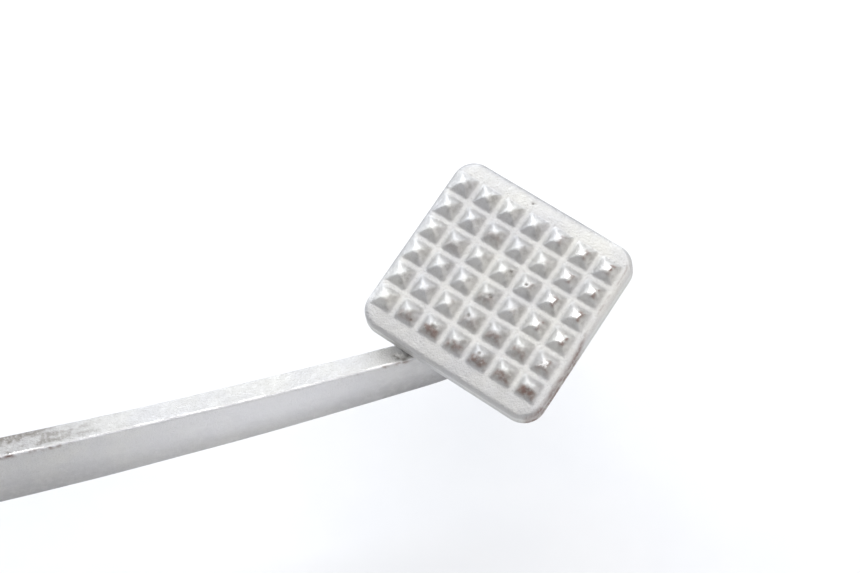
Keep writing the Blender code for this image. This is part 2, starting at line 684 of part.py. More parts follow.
def make_pushrod(finishes, clevis_axis):
    ease = 0.5 * MM
    top = -CLEVIS_SLOT_DEPTH - 1.0 * MM
    rings = [
        (0, ROD_END_Z, ROUND), (ROD_RADIUS - ease, ROD_END_Z, ROUND), (ROD_RADIUS, ROD_END_Z + ease, ROUND),
        (ROD_RADIUS, top - ease, ROUND), (ROD_RADIUS - ease, top, ROUND), (0, top, ROUND),
    ]
    pushrod = add_object("pushrod", lathe(rings, COARSE), finishes["zinc"], clevis_axis)
    pushrod.rotation_euler = (math.pi / 2, 0, 0)
    nut_top = -CLEVIS_LENGTH - GAP
    locknut = add_object("clevis_locknut", nut(ROD_RADIUS + GAP, NUT_FLATS, nut_top - NUT_HEIGHT, nut_top),
                         finishes["zinc"], clevis_axis)
    locknut.rotation_euler = (math.pi / 2, 0, 0)


def main():
    clear_scene()
    finishes = make_finishes()
    frame_side = empty("frame_side", (0, 0, 0))
    pivot = empty("pivot_axis", (0, 0, 0))
    stop_axis = empty("stop_axis", (STOP_X, STOP_Y, 0))
    clevis_axis = empty("clevis_axis", (PIN_X, ARM_Y, 0))
    stop_axis.parent = pivot
    clevis_axis.parent = pivot

    make_pivot_fixings(finishes, frame_side)
    make_pivot_bolt(finishes, frame_side)
    wire("return_spring", spring_path(), WIRE_RADIUS, 2, finishes["spring_steel"], frame_side)

    make_boss(finishes, pivot)
    make_bush("bush_inboard", BUSH_FLANGE_Y, 1, finishes, pivot)
    make_bush("bush_outboard", SLEEVE_END_Y - GAP, -1, finishes, pivot)
    make_seal("seal_inboard", BUSH_FLANGE_Y, INNER_WASHER_RADIUS, finishes, pivot)
    make_seal("seal_outboard", OUTER_FLANGE_Y, WASHER_RADIUS, finishes, pivot)
    make_grease_nipple(finishes, pivot)
    make_arm(finishes, pivot)
    make_pad(finishes, pivot)
    make_rod_lever(finishes, pivot)
    for word, side in (("near", -1), ("far", 1)):
        make_pad_weld("pad_weld_" + word, side, finishes, pivot)
        make_ring_weld("boss_weld_" + word, side, 0, FRONT_WELD_SPAN, finishes, pivot)
        make_ring_weld("rod_lever_weld_" + word, side, math.pi, REAR_WELD_SPAN, finishes, pivot)
    make_stop(finishes, pivot, stop_axis)

    make_clevis(finishes, clevis_axis)
    make_clevis_pin(finishes, clevis_axis)
    make_pushrod(finishes, clevis_axis)


main()
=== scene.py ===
import json
import math
import random

import bmesh
import bpy
import numpy as np
from mathutils import Matrix, Vector, noise


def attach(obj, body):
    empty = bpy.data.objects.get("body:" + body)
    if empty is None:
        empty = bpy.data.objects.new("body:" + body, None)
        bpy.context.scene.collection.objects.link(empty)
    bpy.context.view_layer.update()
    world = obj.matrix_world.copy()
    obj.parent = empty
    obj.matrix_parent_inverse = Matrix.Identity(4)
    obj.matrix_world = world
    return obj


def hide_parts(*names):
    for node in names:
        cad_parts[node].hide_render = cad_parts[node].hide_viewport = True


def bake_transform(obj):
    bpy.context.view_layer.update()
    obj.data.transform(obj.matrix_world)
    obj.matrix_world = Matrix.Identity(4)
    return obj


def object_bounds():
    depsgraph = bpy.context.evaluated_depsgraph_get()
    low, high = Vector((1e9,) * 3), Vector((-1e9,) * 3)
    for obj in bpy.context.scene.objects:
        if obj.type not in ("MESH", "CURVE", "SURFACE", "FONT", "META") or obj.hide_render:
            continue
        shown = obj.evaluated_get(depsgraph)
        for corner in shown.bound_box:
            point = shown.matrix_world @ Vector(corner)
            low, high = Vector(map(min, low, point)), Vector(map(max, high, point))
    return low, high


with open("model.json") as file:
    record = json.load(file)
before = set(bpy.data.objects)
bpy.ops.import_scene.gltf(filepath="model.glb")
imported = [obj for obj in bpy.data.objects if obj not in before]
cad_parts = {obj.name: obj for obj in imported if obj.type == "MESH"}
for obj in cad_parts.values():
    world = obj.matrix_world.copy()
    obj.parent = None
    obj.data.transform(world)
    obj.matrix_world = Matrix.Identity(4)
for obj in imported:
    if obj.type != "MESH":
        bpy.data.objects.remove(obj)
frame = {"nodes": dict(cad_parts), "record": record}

CAD_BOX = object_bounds()
MM = 0.001
GAP = 0.3                    # between neighbouring pieces, in millimetres like all sizes below

# Camera: held level, looking down at the pad
CAMERA_AZIMUTH = math.radians(-11.8)
CAMERA_ELEVATION = math.radians(50.0)
CAMERA_DISTANCE = 324.0 * MM
CAMERA_LENS = 58.6
CAMERA_AIM_OFFSET = Vector((-15.0, 2.8, -0.3)) * MM     # from the pad's centre

# Foot pad. Its own axes: x along the rows of studs, z out of its top face.
PAD_CENTRE = Vector((185.4, 38.6, 23.3)) * MM
PAD_LEAN = math.radians(22.4)
PAD_TIP_BACK = math.radians(-10.4)
PAD_TWIST = math.radians(-45.0)
PAD_THICKNESS = 5.7
PAD_LEFT, PAD_RIGHT = -23.9, 25.0
PAD_NEAR, PAD_FAR = -24.0, 23.7
PAD_CORNER = 5.6
PAD_ROUNDING = 1.25
PAD_DRAFT = 0.25
PAD_GRID = 0.21
STUD_COLUMNS, STUD_ROWS = 7, 6
STUD_PITCH = 6.6
STUD_HALF_BASE = 2.7
STUD_PEAK = 2.75             # of the sharp pyramid, before its tip is worn
STUD_TOP = 2.2               # the tallest that a worn tip is left
STUD_ARCH = 0.76             # below 1, a face is steep at its foot and flatter at its tip
STUD_HOLLOW = 0.25           # how far each face is hollowed between its ridges
WEAR_SLOPE = 0.28            # worn tips fall away towards the back of the pad
POCKET_DEPTH = 0.2           # of the square hollow each stud stands in
POCKET_EDGE = 1.07           # where the hollow ends, in half bases from the stud's middle
PAINT_BLUR = 0.23            # how far thick paint rounds the studs off

# Casting faults on the pad: place along x and y, size and depth
PAD_PITS = (
    (0.8, -3.3, 0.75, 0.40), (1.5, 4.3, 0.50, 0.30), (6.3, 3.3, 0.50, 0.25),
    (-1.1, -9.8, 0.70, 0.25), (-6.3, -16.5, 0.90, 0.30), (-11.7, -17.8, 0.45, 0.20),
    (6.0, -16.0, 0.60, 0.20), (-3.5, 21.2, 0.40, 0.20),
)
# Studs with brown stains on the faces that look towards the pivot, as column and row
STAINED_STUDS = {
    (1, 0): 0.5, (2, 0): 0.9, (3, 0): 0.7, (4, 0): 0.9, (5, 0): 0.8, (6, 0): 1.0,
    (3, 1): 0.4, (4, 1): 0.6, (5, 1): 0.6, (6, 1): 0.5, (3, 2): 0.4, (2, 4): 0.4, (1, 3): 0.3,
}

# Arm
ARM_Y = 24.0
ARM_THICKNESS = 5.6
ARM_TOP = 10.4
ARM_DEPTH = 20.9
ARM_TAPER = 0.0506
ARM_BEND_RADIUS = 1390.0
ARM_START_X = 12.4
ARM_RISE_X = 167.0
ARM_RISE_RADIUS = 72.0
ARM_TOE_X = 196.0
ARM_TOE_HEIGHT = 6.0
ARM_END_X = 203.0
ARM_EDGE = 0.6
# Chipped paint along the near top edge: place along X, and half its length
ARM_CHIPS = ((161.5, 1.6), (156.5, 1.5), (149.8, 0.8), (79.5, 4.5), (71.0, 3.0), (40.0, 6.0))
# Pits in the top beside the pad: place along X, distance from the middle of the bar, and size
ARM_PITS = ((161.0, -1.2, 0.6), (162.3, -2.0, 0.7), (160.2, -0.3, 0.4), (163.2, -1.1, 0.7))

# Weld beads
BEAD_RADIUS = 1.9
PAD_BEAD_START_X, PAD_BEAD_END_X = 170.5, 197.0
BOSS_BEAD_SPAN = math.radians(42)
ROD_LEVER_BEAD_SPAN = math.radians(36)

# Pivot: pieces turned round the Y axis
BOLT_RADIUS = 5.0
BOLT_PITCH = 1.5
BOLT_FLATS = 14.0
BOLT_FLANGE_RADIUS = 10.5
BOLT_END_Y = -18.0
SLEEVE_BORE, SLEEVE_RADIUS, SLEEVE_END_Y = 5.3, 7.0, 35.1
BUSH_BORE, BUSH_RADIUS, BUSH_FLANGE_RADIUS = 7.3, 8.7, 10.0
BUSH_BARREL = 10.0
FLANGE = 1.5
BOSS_BORE, BOSS_RADIUS = 9.0, 13.0
SEAT_RADIUS = 11.0
BOSS_START_Y, BOSS_SHOULDER_Y, BOSS_END_Y = 3.9, 17.2, 33.0
INNER_WASHER_Y, OUTER_WASHER_Y, SPRING_WASHER_Y = 0.3, 35.4, 37.2
INNER_WASHER_RADIUS, OUTER_WASHER_RADIUS = 11.5, 12.5
WASHER_THICKNESS = 1.5
SPRING_WASHER_RADIUS, SPRING_WASHER_THICKNESS = 9.0, 1.8
INNER_FLANGE_Y, OUTER_FLANGE_Y = 2.1, 33.3
BOLT_HEAD_Y, BOLT_TOP_Y = 39.3, 47.8
NIPPLE_LEAN = math.radians(-25)

# Stop screw, clevis and pushrod
STOP_X, STOP_Y = -21.5, 9.0
STOP_LOW_Z, STOP_HIGH_Z = -18.0, 14.0
SMALL_RADIUS = 3.0           # of the 6 mm threads
SMALL_PITCH = 1.0
SMALL_FLATS = 10.0
STOP_HEAD = 4.0
STOP_NUT_Z = 4.3
NUT_HEIGHT = 5.0
PIN_X = -38.0
CLEVIS_HALF_DEPTH = 6.3
CLEVIS_FOOT_Z = -22.0
PIN_WASHER_RADIUS = 6.0
ROD_TOP_Z, ROD_END_Z = -13.0, -36.0

# Return spring
WIRE_RADIUS = 1.25
COIL_RADIUS = 12.95
COIL_START_Y = 5.6
COIL_PITCH = 2.9
COIL_TURNS = 3
FIXED_LEG_Z, FIXED_HOOK_Y = -22.0, -6.0
MOVING_LEG_X, MOVING_HOOK_Y = 34.0, 28.5
HOOK_BEND = 2.5


# ---------------------------------------------------------------- mesh helpers

def to_arrays(rows, closed_along=False):
    """Points and faces of a skin over rows of points. Each row closes on itself."""
    rows = np.asarray(rows, float)
    count, around = rows.shape[:2]
    index = np.arange(count * around).reshape(count, around)
    after = np.roll(index, -1, axis=1)
    below = index if closed_along else index[:-1]
    above = np.roll(index, -1, axis=0) if closed_along else index[1:]
    below_after = after if closed_along else after[:-1]
    above_after = np.roll(after, -1, axis=0) if closed_along else after[1:]
    faces = np.stack([below, below_after, above_after, above], axis=-1).reshape(-1, 4).tolist()
    if not closed_along:
        faces += [index[0][::-1].tolist(), index[-1].tolist()]
    return rows.reshape(-1, 3), faces


def make_piece(name, points, faces, material, body, nodes=(), sharp=32.0, marks=None):
    """A visible piece from points in millimetres. marks are named values, one for each point."""
    mesh = bpy.data.meshes.new(name)
    mesh.from_pydata((np.asarray(points) * MM).tolist(), [], faces)
    for mark, values in (marks or {}).items():
        layer = mesh.attributes.new(mark, "FLOAT", "POINT")
        layer.data.foreach_set("value", np.asarray(values, np.float32).ravel())
    bm = bmesh.new()
    bm.from_mesh(mesh)
    bmesh.ops.recalc_face_normals(bm, faces=bm.faces)
    if bm.calc_volume(signed=True) < 0:
        bmesh.ops.reverse_faces(bm, faces=bm.faces)
    bm.to_mesh(mesh)
    bm.free()
    piece = bpy.data.objects.new(name, mesh)
    bpy.context.scene.collection.objects.link(piece)
    finish_piece(piece, material, body, nodes, sharp)
    return piece


def finish_piece(piece, material, body, nodes, sharp):
    piece.data.shade_smooth()
    piece.data.set_sharp_from_angle(angle=math.radians(sharp))
    piece.data.materials.clear()
    piece.data.materials.append(material)
    if body:
        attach(piece, body)
    if nodes:
        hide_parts(*nodes)


def soften(profile, reach=0.3, closed=False):
    """Round the corners of a profile of (size, y, hexagon share)."""
    profile = [np.array(point, float) for point in profile]
    if closed:
        corners = zip(profile[-1:] + profile[:-1], profile, profile[1:] + profile[:1])
        made = []
    else:
        corners = zip(profile, profile[1:], profile[2:])
        made = [profile[0]]
    for before, corner, after in corners:
        back, ahead = before - corner, after - corner
        if np.dot(back, ahead) < -0.999 * np.linalg.norm(back) * np.linalg.norm(ahead):
            made.append(corner)
            continue
        near = min(reach, 0.45 * np.linalg.norm(back), 0.45 * np.linalg.norm(ahead))
        start = corner + back / np.linalg.norm(back) * near
        end = corner + ahead / np.linalg.norm(ahead) * near
        for t in (0.0, 0.33, 0.67, 1.0):
            made.append(start * (1 - t) ** 2 + corner * 2 * t * (1 - t) + end * t ** 2)
    return made if closed else made + [profile[-1]]


def hexagon_reach(angles):
    """Distance from the middle to a hexagon with half its flats of 1, with its corners eased."""
    sixth = math.pi / 3
    return np.minimum(1 / np.cos(angles % sixth - sixth / 2), 1.14)


def turned_rows(profile, sides):
    """Rows of points round the Y axis, from a profile of (size, y, hexagon share)."""
    angles = np.linspace(0, 2 * math.pi, sides, endpoint=False)
    rows = []
    for size, y, share in profile:
        reach = size * (1 + share * (hexagon_reach(angles) - 1))
        rows.append(np.stack([reach * np.cos(angles), np.full(sides, y), reach * np.sin(angles)], axis=1))
    return np.array(rows)


def plain_length(radius, start, end, pitch):
    """A plain stretch of profile with enough rings to carry a thread."""
    count = int(abs(end - start) / pitch * 10)
    return [(radius, start + (end - start) * step / count, 0) for step in range(count + 1)]


def cut_thread(rows, radius, start, end, pitch):
    """Sink a helical V groove into the part of turned rows between start and end."""
    angle = np.arctan2(rows[..., 2], rows[..., 0])
    y = rows[..., 1]
    phase = (y / pitch + angle / (2 * math.pi)) % 1
    groove = 0.6 * pitch * np.clip(1 - np.abs(2 * phase - 1) - 0.12, 0, 0.8)
    reach = np.hypot(rows[..., 0], rows[..., 2])
    fade = np.clip((y - start) / pitch, 0, 1) * np.clip((end - y) / pitch, 0, 1)
    depth = np.where(np.abs(reach - radius) < 0.01, groove * fade, 0)
    factor = (reach - depth) / np.maximum(reach, 1e-6)
    rows[..., 0] *= factor
    rows[..., 2] *= factor
    return rows


def turned(node, profile, sides, material, body, slot, place=None, closed=False, reach=0.3, thread=None):
    """A turned piece in place of a CAD node. A closed profile makes a ring.

    thread is (radius, start, end, pitch).
    """
    rows = turned_rows(soften(profile, reach, closed), sides)
    if thread:
        rows = cut_thread(rows, *thread)
    points, faces = to_arrays(rows, closed_along=closed)
    if place:
        matrix = np.array(place)
        points = points @ matrix[:3, :3].T + matrix[:3, 3]
    make_piece(node + "_turned", points, faces, material, body, [node])


def upright(x, y, z):
    """Turns the Y axis to point up, and moves it to a place."""
    return Matrix.Translation((x, y, z)) @ Matrix.Rotation(math.pi / 2, 4, "X")


def tube_rows(path, radius, sides):
    """Rows of points round a path. radius is one number, or one for each point."""
    path = np.asarray(path, float)
    radius = np.broadcast_to(np.asarray(radius, float), len(path))
    along = np.gradient(path, axis=0)
    along /= np.linalg.norm(along, axis=1, keepdims=True)
    side = np.cross(along[0], (0.3, 0.2, 0.93))
    angles = np.linspace(0, 2 * math.pi, sides, endpoint=False)
    rows = []
    for point, ahead, reach in zip(path, along, radius):
        side = side - np.dot(side, ahead) * ahead
        side /= np.linalg.norm(side)
        up = np.cross(ahead, side)
        rows.append(point + reach * (np.outer(np.cos(angles), side) + np.outer(np.sin(angles), up)))
    return np.array(rows)


def smooth_step(low, high, values):
    t = np.clip((values - low) / (high - low), 0, 1)
    return t * t * (3 - 2 * t)


def noise_at(points, scale, seed=0.0):
    """Smooth noise from -1 to 1 at points in millimetres. scale is the size of its features."""
    flat = np.asarray(points, float).reshape(-1, 3) / scale + seed
    values = [noise.noise(Vector(point)) for point in flat.tolist()]
    return np.array(values).reshape(np.shape(points)[:-1])


# ---------------------------------------------------------------- materials

class Nodes:
    """A short way to build a material's node tree."""

    def __init__(self, name):
        self.material = bpy.data.materials.new(name)
        self.material.use_nodes = True
        self.tree = self.material.node_tree
        self.shader = self.tree.nodes["Principled BSDF"]
        coordinates = self.tree.nodes.new("ShaderNodeTexCoord")
        self.place = coordinates.outputs["Object"]

    def put(self, socket, value):
        if isinstance(value, bpy.types.NodeSocket):
            self.tree.links.new(value, socket)
        elif isinstance(value, tuple) and len(value) == 3 and socket.type == "RGBA":
            socket.default_value = (*value, 1.0)
        else:
            socket.default_value = value

    def noise(self, size_mm, detail=3.0, roughness=0.55, stretch=None):
        """Noise from 0 to 1, with features of about size_mm."""
        made = self.tree.nodes.new("ShaderNodeTexNoise")
        place = self.place
        if stretch:
            mapping = self.tree.nodes.new("ShaderNodeMapping")
            mapping.inputs["Scale"].default_value = stretch
            self.put(mapping.inputs["Vector"], place)
            place = mapping.outputs["Vector"]
        self.put(made.inputs["Vector"], place)
        made.inputs["Scale"].default_value = 1.0 / (size_mm * MM)
        made.inputs["Detail"].default_value = detail
        made.inputs["Roughness"].default_value = roughness
        return made.outputs["Fac"]

    def mark(self, name):
        made = self.tree.nodes.new("ShaderNodeAttribute")
        made.attribute_name = name
        return made.outputs["Fac"]

    def ramp(self, value, low, high, start=0.0, end=1.0):
        """Map low..high to start..end, held at both ends."""
        made = self.tree.nodes.new("ShaderNodeMapRange")
        made.interpolation_type = "SMOOTHSTEP"
        for socket, number in (("From Min", low), ("From Max", high), ("To Min", start), ("To Max", end)):
            made.inputs[socket].default_value = number
        self.put(made.inputs["Value"], value)
        return made.outputs["Result"]

    def math(self, operation, first, second=0.0):
        made = self.tree.nodes.new("ShaderNodeMath")
        made.operation = operation
        made.use_clamp = operation in ("MULTIPLY", "ADD")
        self.put(made.inputs[0], first)
        self.put(made.inputs[1], second)
        return made.outputs[0]

    def mix(self, share, first, second):
        made = self.tree.nodes.new("ShaderNodeMix")
        made.data_type = "RGBA"
        self.put(made.inputs["Factor"], share)
        self.put(made.inputs["A"], first)
        self.put(made.inputs["B"], second)
        return made.outputs["Result"]

    def bump(self, height, depth_mm, before=None):
        made = self.tree.nodes.new("ShaderNodeBump")
        made.inputs["Strength"].default_value = 1.0
        made.inputs["Distance"].default_value = depth_mm * MM
        self.put(made.inputs["Height"], height)
        if before is not None:
            self.put(made.inputs["Normal"], before)
        return made.outputs["Normal"]

    def set(self, **values):
        for name, value in values.items():
            self.put(self.shader.inputs[name.replace("_", " ")], value)


def silver_paint():
    """Thin silver paint on cast and forged steel: grain, worn spots, rust at their edges, dirt, and marks
    that paint light, highlights and shade into the colour.
    """
    n = Nodes("silver_paint")
    grain = n.noise(0.45, detail=3.0, roughness=0.6)
    lumps = n.noise(1.7, detail=3.0)
    tone = n.ramp(n.noise(9.0, detail=4.0), 0.3, 0.7)
    fleck = n.ramp(n.noise(0.14, detail=1.0), 0.35, 0.75)
    paint = n.mix(tone, (0.565, 0.565, 0.57), (0.63, 0.625, 0.595))
    paint = n.mix(n.math("MULTIPLY", fleck, 0.35), paint, (0.78, 0.775, 0.76))
    specks = n.ramp(n.noise(0.36, detail=4.0, roughness=0.7), 0.54, 0.72)
    paint = n.mix(n.math("MULTIPLY", specks, 0.45), paint, (0.31, 0.285, 0.255))
    # This mark paints light into the colour: the paint is lightened where light and highlights fall.
    paint = n.mix(n.mark("painted_light"), paint, (0.80, 0.80, 0.82))
    # This mark paints shade into the colour: the paint is darkened where shade falls.
    painted_shade = n.math("MULTIPLY", n.mark("painted_shade"), n.ramp(lumps, 0.2, 0.6, 0.75, 1.0))
    paint = n.mix(painted_shade, paint, (0.30, 0.295, 0.30))
    dirt = n.math("MULTIPLY", n.mark("dirt"), n.ramp(n.noise(0.8, detail=4.0), 0.25, 0.6, 0.45, 1.0))
    colour = n.mix(dirt, paint, (0.13, 0.115, 0.095))
    rust = n.math("MULTIPLY", n.mark("rust"), n.ramp(n.noise(0.7, detail=4.0), 0.28, 0.55, 0.3, 1.0))
    colour = n.mix(rust, colour, (0.17, 0.10, 0.08))
    bare = n.ramp(n.math("ADD", n.mark("bare"), n.ramp(grain, 0.3, 0.7, -0.25, 0.25)), 0.3, 0.75)
    colour = n.mix(bare, colour, (0.80, 0.785, 0.775))
    roughness = n.ramp(lumps, 0.3, 0.7, 0.36, 0.5)
    worn = n.ramp(bare, 0.0, 1.0, 0.0, 0.14)
    roughness = n.math("SUBTRACT", roughness, worn)
    metallic = n.ramp(bare, 0.0, 1.0, 0.55, 1.0)
    metallic = n.math("SUBTRACT", metallic, n.math("MULTIPLY", n.math("ADD", dirt, rust), 0.5))
    normal = n.bump(lumps, 0.14)
    normal = n.bump(grain, 0.2, normal)
    n.set(Base_Color=colour, Roughness=roughness, Metallic=metallic, Normal=normal)
    return n.material


def zinc_plate():
    """Turned and rolled steel with a dulled zinc plate."""
    n = Nodes("zinc_plate")
    cloud = n.ramp(n.noise(3.0, detail=4.0), 0.3, 0.7)
    colour = n.mix(cloud, (0.50, 0.50, 0.49), (0.66, 0.655, 0.63))
    spots = n.ramp(n.noise(0.7, detail=5.0), 0.62, 0.72)
    colour = n.mix(n.math("MULTIPLY", spots, 0.5), colour, (0.28, 0.24, 0.18))
    lines = n.noise(0.5, detail=2.0, stretch=(1.0, 9.0, 1.0))
    roughness = n.ramp(n.noise(1.2, detail=3.0), 0.3, 0.7, 0.28, 0.46)
    n.set(Base_Color=colour, Roughness=roughness, Metallic=1.0, Normal=n.bump(lines, 0.015))
    return n.material


def spring_steel():
    n = Nodes("spring_steel")
    cloud = n.ramp(n.noise(2.0, detail=4.0), 0.3, 0.7)
    colour = n.mix(cloud, (0.16, 0.165, 0.17), (0.30, 0.30, 0.30))
    rust = n.ramp(n.noise(1.1, detail=5.0), 0.64, 0.74)
    colour = n.mix(n.math("MULTIPLY", rust, 0.6), colour, (0.20, 0.09, 0.04))
    roughness = n.ramp(n.noise(0.8, detail=3.0), 0.3, 0.7, 0.3, 0.5)
    n.set(Base_Color=colour, Roughness=roughness, Metallic=1.0, Normal=n.bump(n.noise(0.3), 0.01))
    return n.material


def bronze():
    n = Nodes("bronze")
    cloud = n.ramp(n.noise(2.5, detail=4.0), 0.3, 0.7)
    colour = n.mix(cloud, (0.42, 0.26, 0.11), (0.60, 0.42, 0.20))
    roughness = n.ramp(n.noise(0.9, detail=3.0), 0.3, 0.7, 0.3, 0.5)
    n.set(Base_Color=colour, Roughness=roughness, Metallic=1.0, Normal=n.bump(n.noise(0.25), 0.012))
    return n.material


def rubber():
    n = Nodes("rubber")
    bloom = n.ramp(n.noise(1.8, detail=4.0), 0.35, 0.75)
    colour = n.mix(bloom, (0.018, 0.018, 0.019), (0.055, 0.054, 0.052))
    roughness = n.ramp(n.noise(0.6, detail=3.0), 0.3, 0.7, 0.62, 0.85)
    n.set(Base_Color=colour, Roughness=roughness, Normal=n.bump(n.noise(0.2), 0.02))
    return n.material


def pale_floor():
    n = Nodes("pale_floor")
    cloud = n.ramp(n.noise(60.0, detail=3.0), 0.3, 0.7)
    colour = n.mix(cloud, (0.71, 0.715, 0.725), (0.74, 0.74, 0.74))
    roughness = n.ramp(n.noise(5.0), 0.3, 0.7, 0.6, 0.75)
    n.set(Base_Color=colour, Roughness=roughness)
    return n.material


# ---------------------------------------------------------------- foot pad

def pad_matrix():
    turn = (Matrix.Rotation(PAD_LEAN, 4, "X") @ Matrix.Rotation(PAD_TIP_BACK, 4, "Y")
            @ Matrix.Rotation(PAD_TWIST, 4, "Z"))
    return Matrix.Translation(PAD_CENTRE / MM) @ turn


def place_on_pad(points):
    matrix = np.array(pad_matrix())
    return np.asarray(points) @ matrix[:3, :3].T + matrix[:3, 3]


def pad_lines(low, high):
    """Grid lines from edge to edge, close together where the rim rounds over."""
    turn = np.linspace(0, math.pi / 2, 8)
    band = PAD_ROUNDING * (1 - np.cos(turn))
    count = int((high - low - 2 * PAD_ROUNDING) / PAD_GRID)
    middle = np.linspace(low + PAD_ROUNDING, high - PAD_ROUNDING, count)
    return np.concatenate([low + band[:-1], middle, (high - band[:-1])[::-1]])


def pad_grid():
    """Grid points drawn in to the rounded outline, and each one's distance from it."""
    inset = PAD_DRAFT
    left, right = PAD_LEFT + inset, PAD_RIGHT - inset
    near, far = PAD_NEAR + inset, PAD_FAR - inset
    corner = PAD_CORNER - inset
    x, y = np.meshgrid(pad_lines(left, right), pad_lines(near, far), indexing="ij")
    middle_x = np.clip(x, left + corner, right - corner)
    middle_y = np.clip(y, near + corner, far - corner)
    across, up = (x - middle_x) / corner, (y - middle_y) / corner
    longest = np.maximum(np.abs(across), np.abs(up))
    reach = np.hypot(across, up)
    factor = np.where(reach > 0, longest / np.maximum(reach, 1e-9), 1.0)
    return middle_x + across * factor * corner, middle_y + up * factor * corner, corner * (1 - longest)


def stud_wear():
    """How worn each stud's tip is, from 0 to 1: most at the outer edge of the pad."""
    dice = random.Random(11)
    wear = np.zeros((STUD_COLUMNS, STUD_ROWS))
    for column in range(STUD_COLUMNS):
        for row in range(STUD_ROWS):
            outward = column / (STUD_COLUMNS - 1)
            nearward = 1 - row / (STUD_ROWS - 1)
            chance = dice.uniform(-0.08, 0.1)
            wear[column, row] = 0.08 + 0.6 * outward ** 1.8 + 0.25 * nearward ** 2 + chance
    return wear


def stain_map():
    stain = np.zeros((STUD_COLUMNS, STUD_ROWS))
    for place, amount in STAINED_STUDS.items():
        stain[place] = amount
    return stain


def stud_surface(x, y):
    """Height of pockets and sharp studs, the height they are worn down to, and the marks on them."""
    column = np.clip(np.round(x / STUD_PITCH + (STUD_COLUMNS - 1) / 2), 0, STUD_COLUMNS - 1).astype(int)
    row = np.clip(np.round(y / STUD_PITCH + (STUD_ROWS - 1) / 2), 0, STUD_ROWS - 1).astype(int)
    across = (x - (column - (STUD_COLUMNS - 1) / 2) * STUD_PITCH) / STUD_HALF_BASE
    up = (y - (row - (STUD_ROWS - 1) / 2) * STUD_PITCH) / STUD_HALF_BASE
    away = np.maximum(np.abs(across), np.abs(up))
    ridge = np.minimum(np.abs(across), np.abs(up)) / np.maximum(away, 1e-6)
    inner = np.clip(away, 0, 1)
    hollowed = np.clip(inner * (1 + STUD_HOLLOW * (1 - inner) * (1 - ridge ** 2)), 0, 1)
    stud = (STUD_PEAK + POCKET_DEPTH) * (1 - hollowed) ** STUD_ARCH
    pocket = POCKET_DEPTH * (1 - smooth_step(1.0, POCKET_EDGE, away))
    wear = stud_wear()[column, row]
    stain = stain_map()[column, row]
    backward = (up - across) * math.sqrt(0.5)
    fall = (backward * (1 - stain) - 1.4 * up * stain) * STUD_HALF_BASE
    worn = STUD_TOP - 0.5 * wear - WEAR_SLOPE * np.clip(fall + 0.25, -0.6, 2.0)
    wear = wear * (1 - stain)
    stain = stain * smooth_step(0.15, -0.2, up) * smooth_step(1.0, 0.5, away)
    outer_side = smooth_step(-0.2, 0.2, across)
    grime = 0.45 * smooth_step(-0.1, 0.4, across) * smooth_step(1.0, 0.7, away)
    # Painted shade at the foot of each stud's two far faces, where the pocket wall lies in shade.
    near_foot = smooth_step(0.4, 0.9, away) * smooth_step(1.2, 1.05, away)
    foot_shade = 0.24 * smooth_step(-0.1, 0.2, backward) * near_foot
    return stud - pocket, worn, wear, stain, grime, outer_side, foot_shade


def blur(field, size):
    """Round a height field off by about size, as thick paint does."""
    for _ in range(max(1, round((size / PAD_GRID) ** 2 * 6))):
        inner = field.copy()
        inner[1:-1, 1:-1] = (field[1:-1, 1:-1] * 4 + field[:-2, 1:-1] + field[2:, 1:-1]
                             + field[1:-1, :-2] + field[1:-1, 2:]) / 8
        field = inner
    return field


def edge_stain(points, inside):
    """Rust along the pad's outer edge: a dotted line inside the far half, a band over the near half."""
    nearer = smooth_step(4.0, -6.0, points[..., 1])
    line = np.exp(-((inside - 1.3 * (1 - nearer)) / (0.22 + 0.4 * nearer)) ** 2)
    chips = smooth_step(-0.2, 0.3, noise_at(points * (1, 0.4, 1), 1.0, 5.0))
    outer = smooth_step(PAD_RIGHT - 3.2, PAD_RIGHT - 1.8, points[..., 0])
    return line * outer * (0.45 + 0.45 * nearer) * (0.15 + 0.4 * nearer + (0.85 - 0.4 * nearer) * chips)


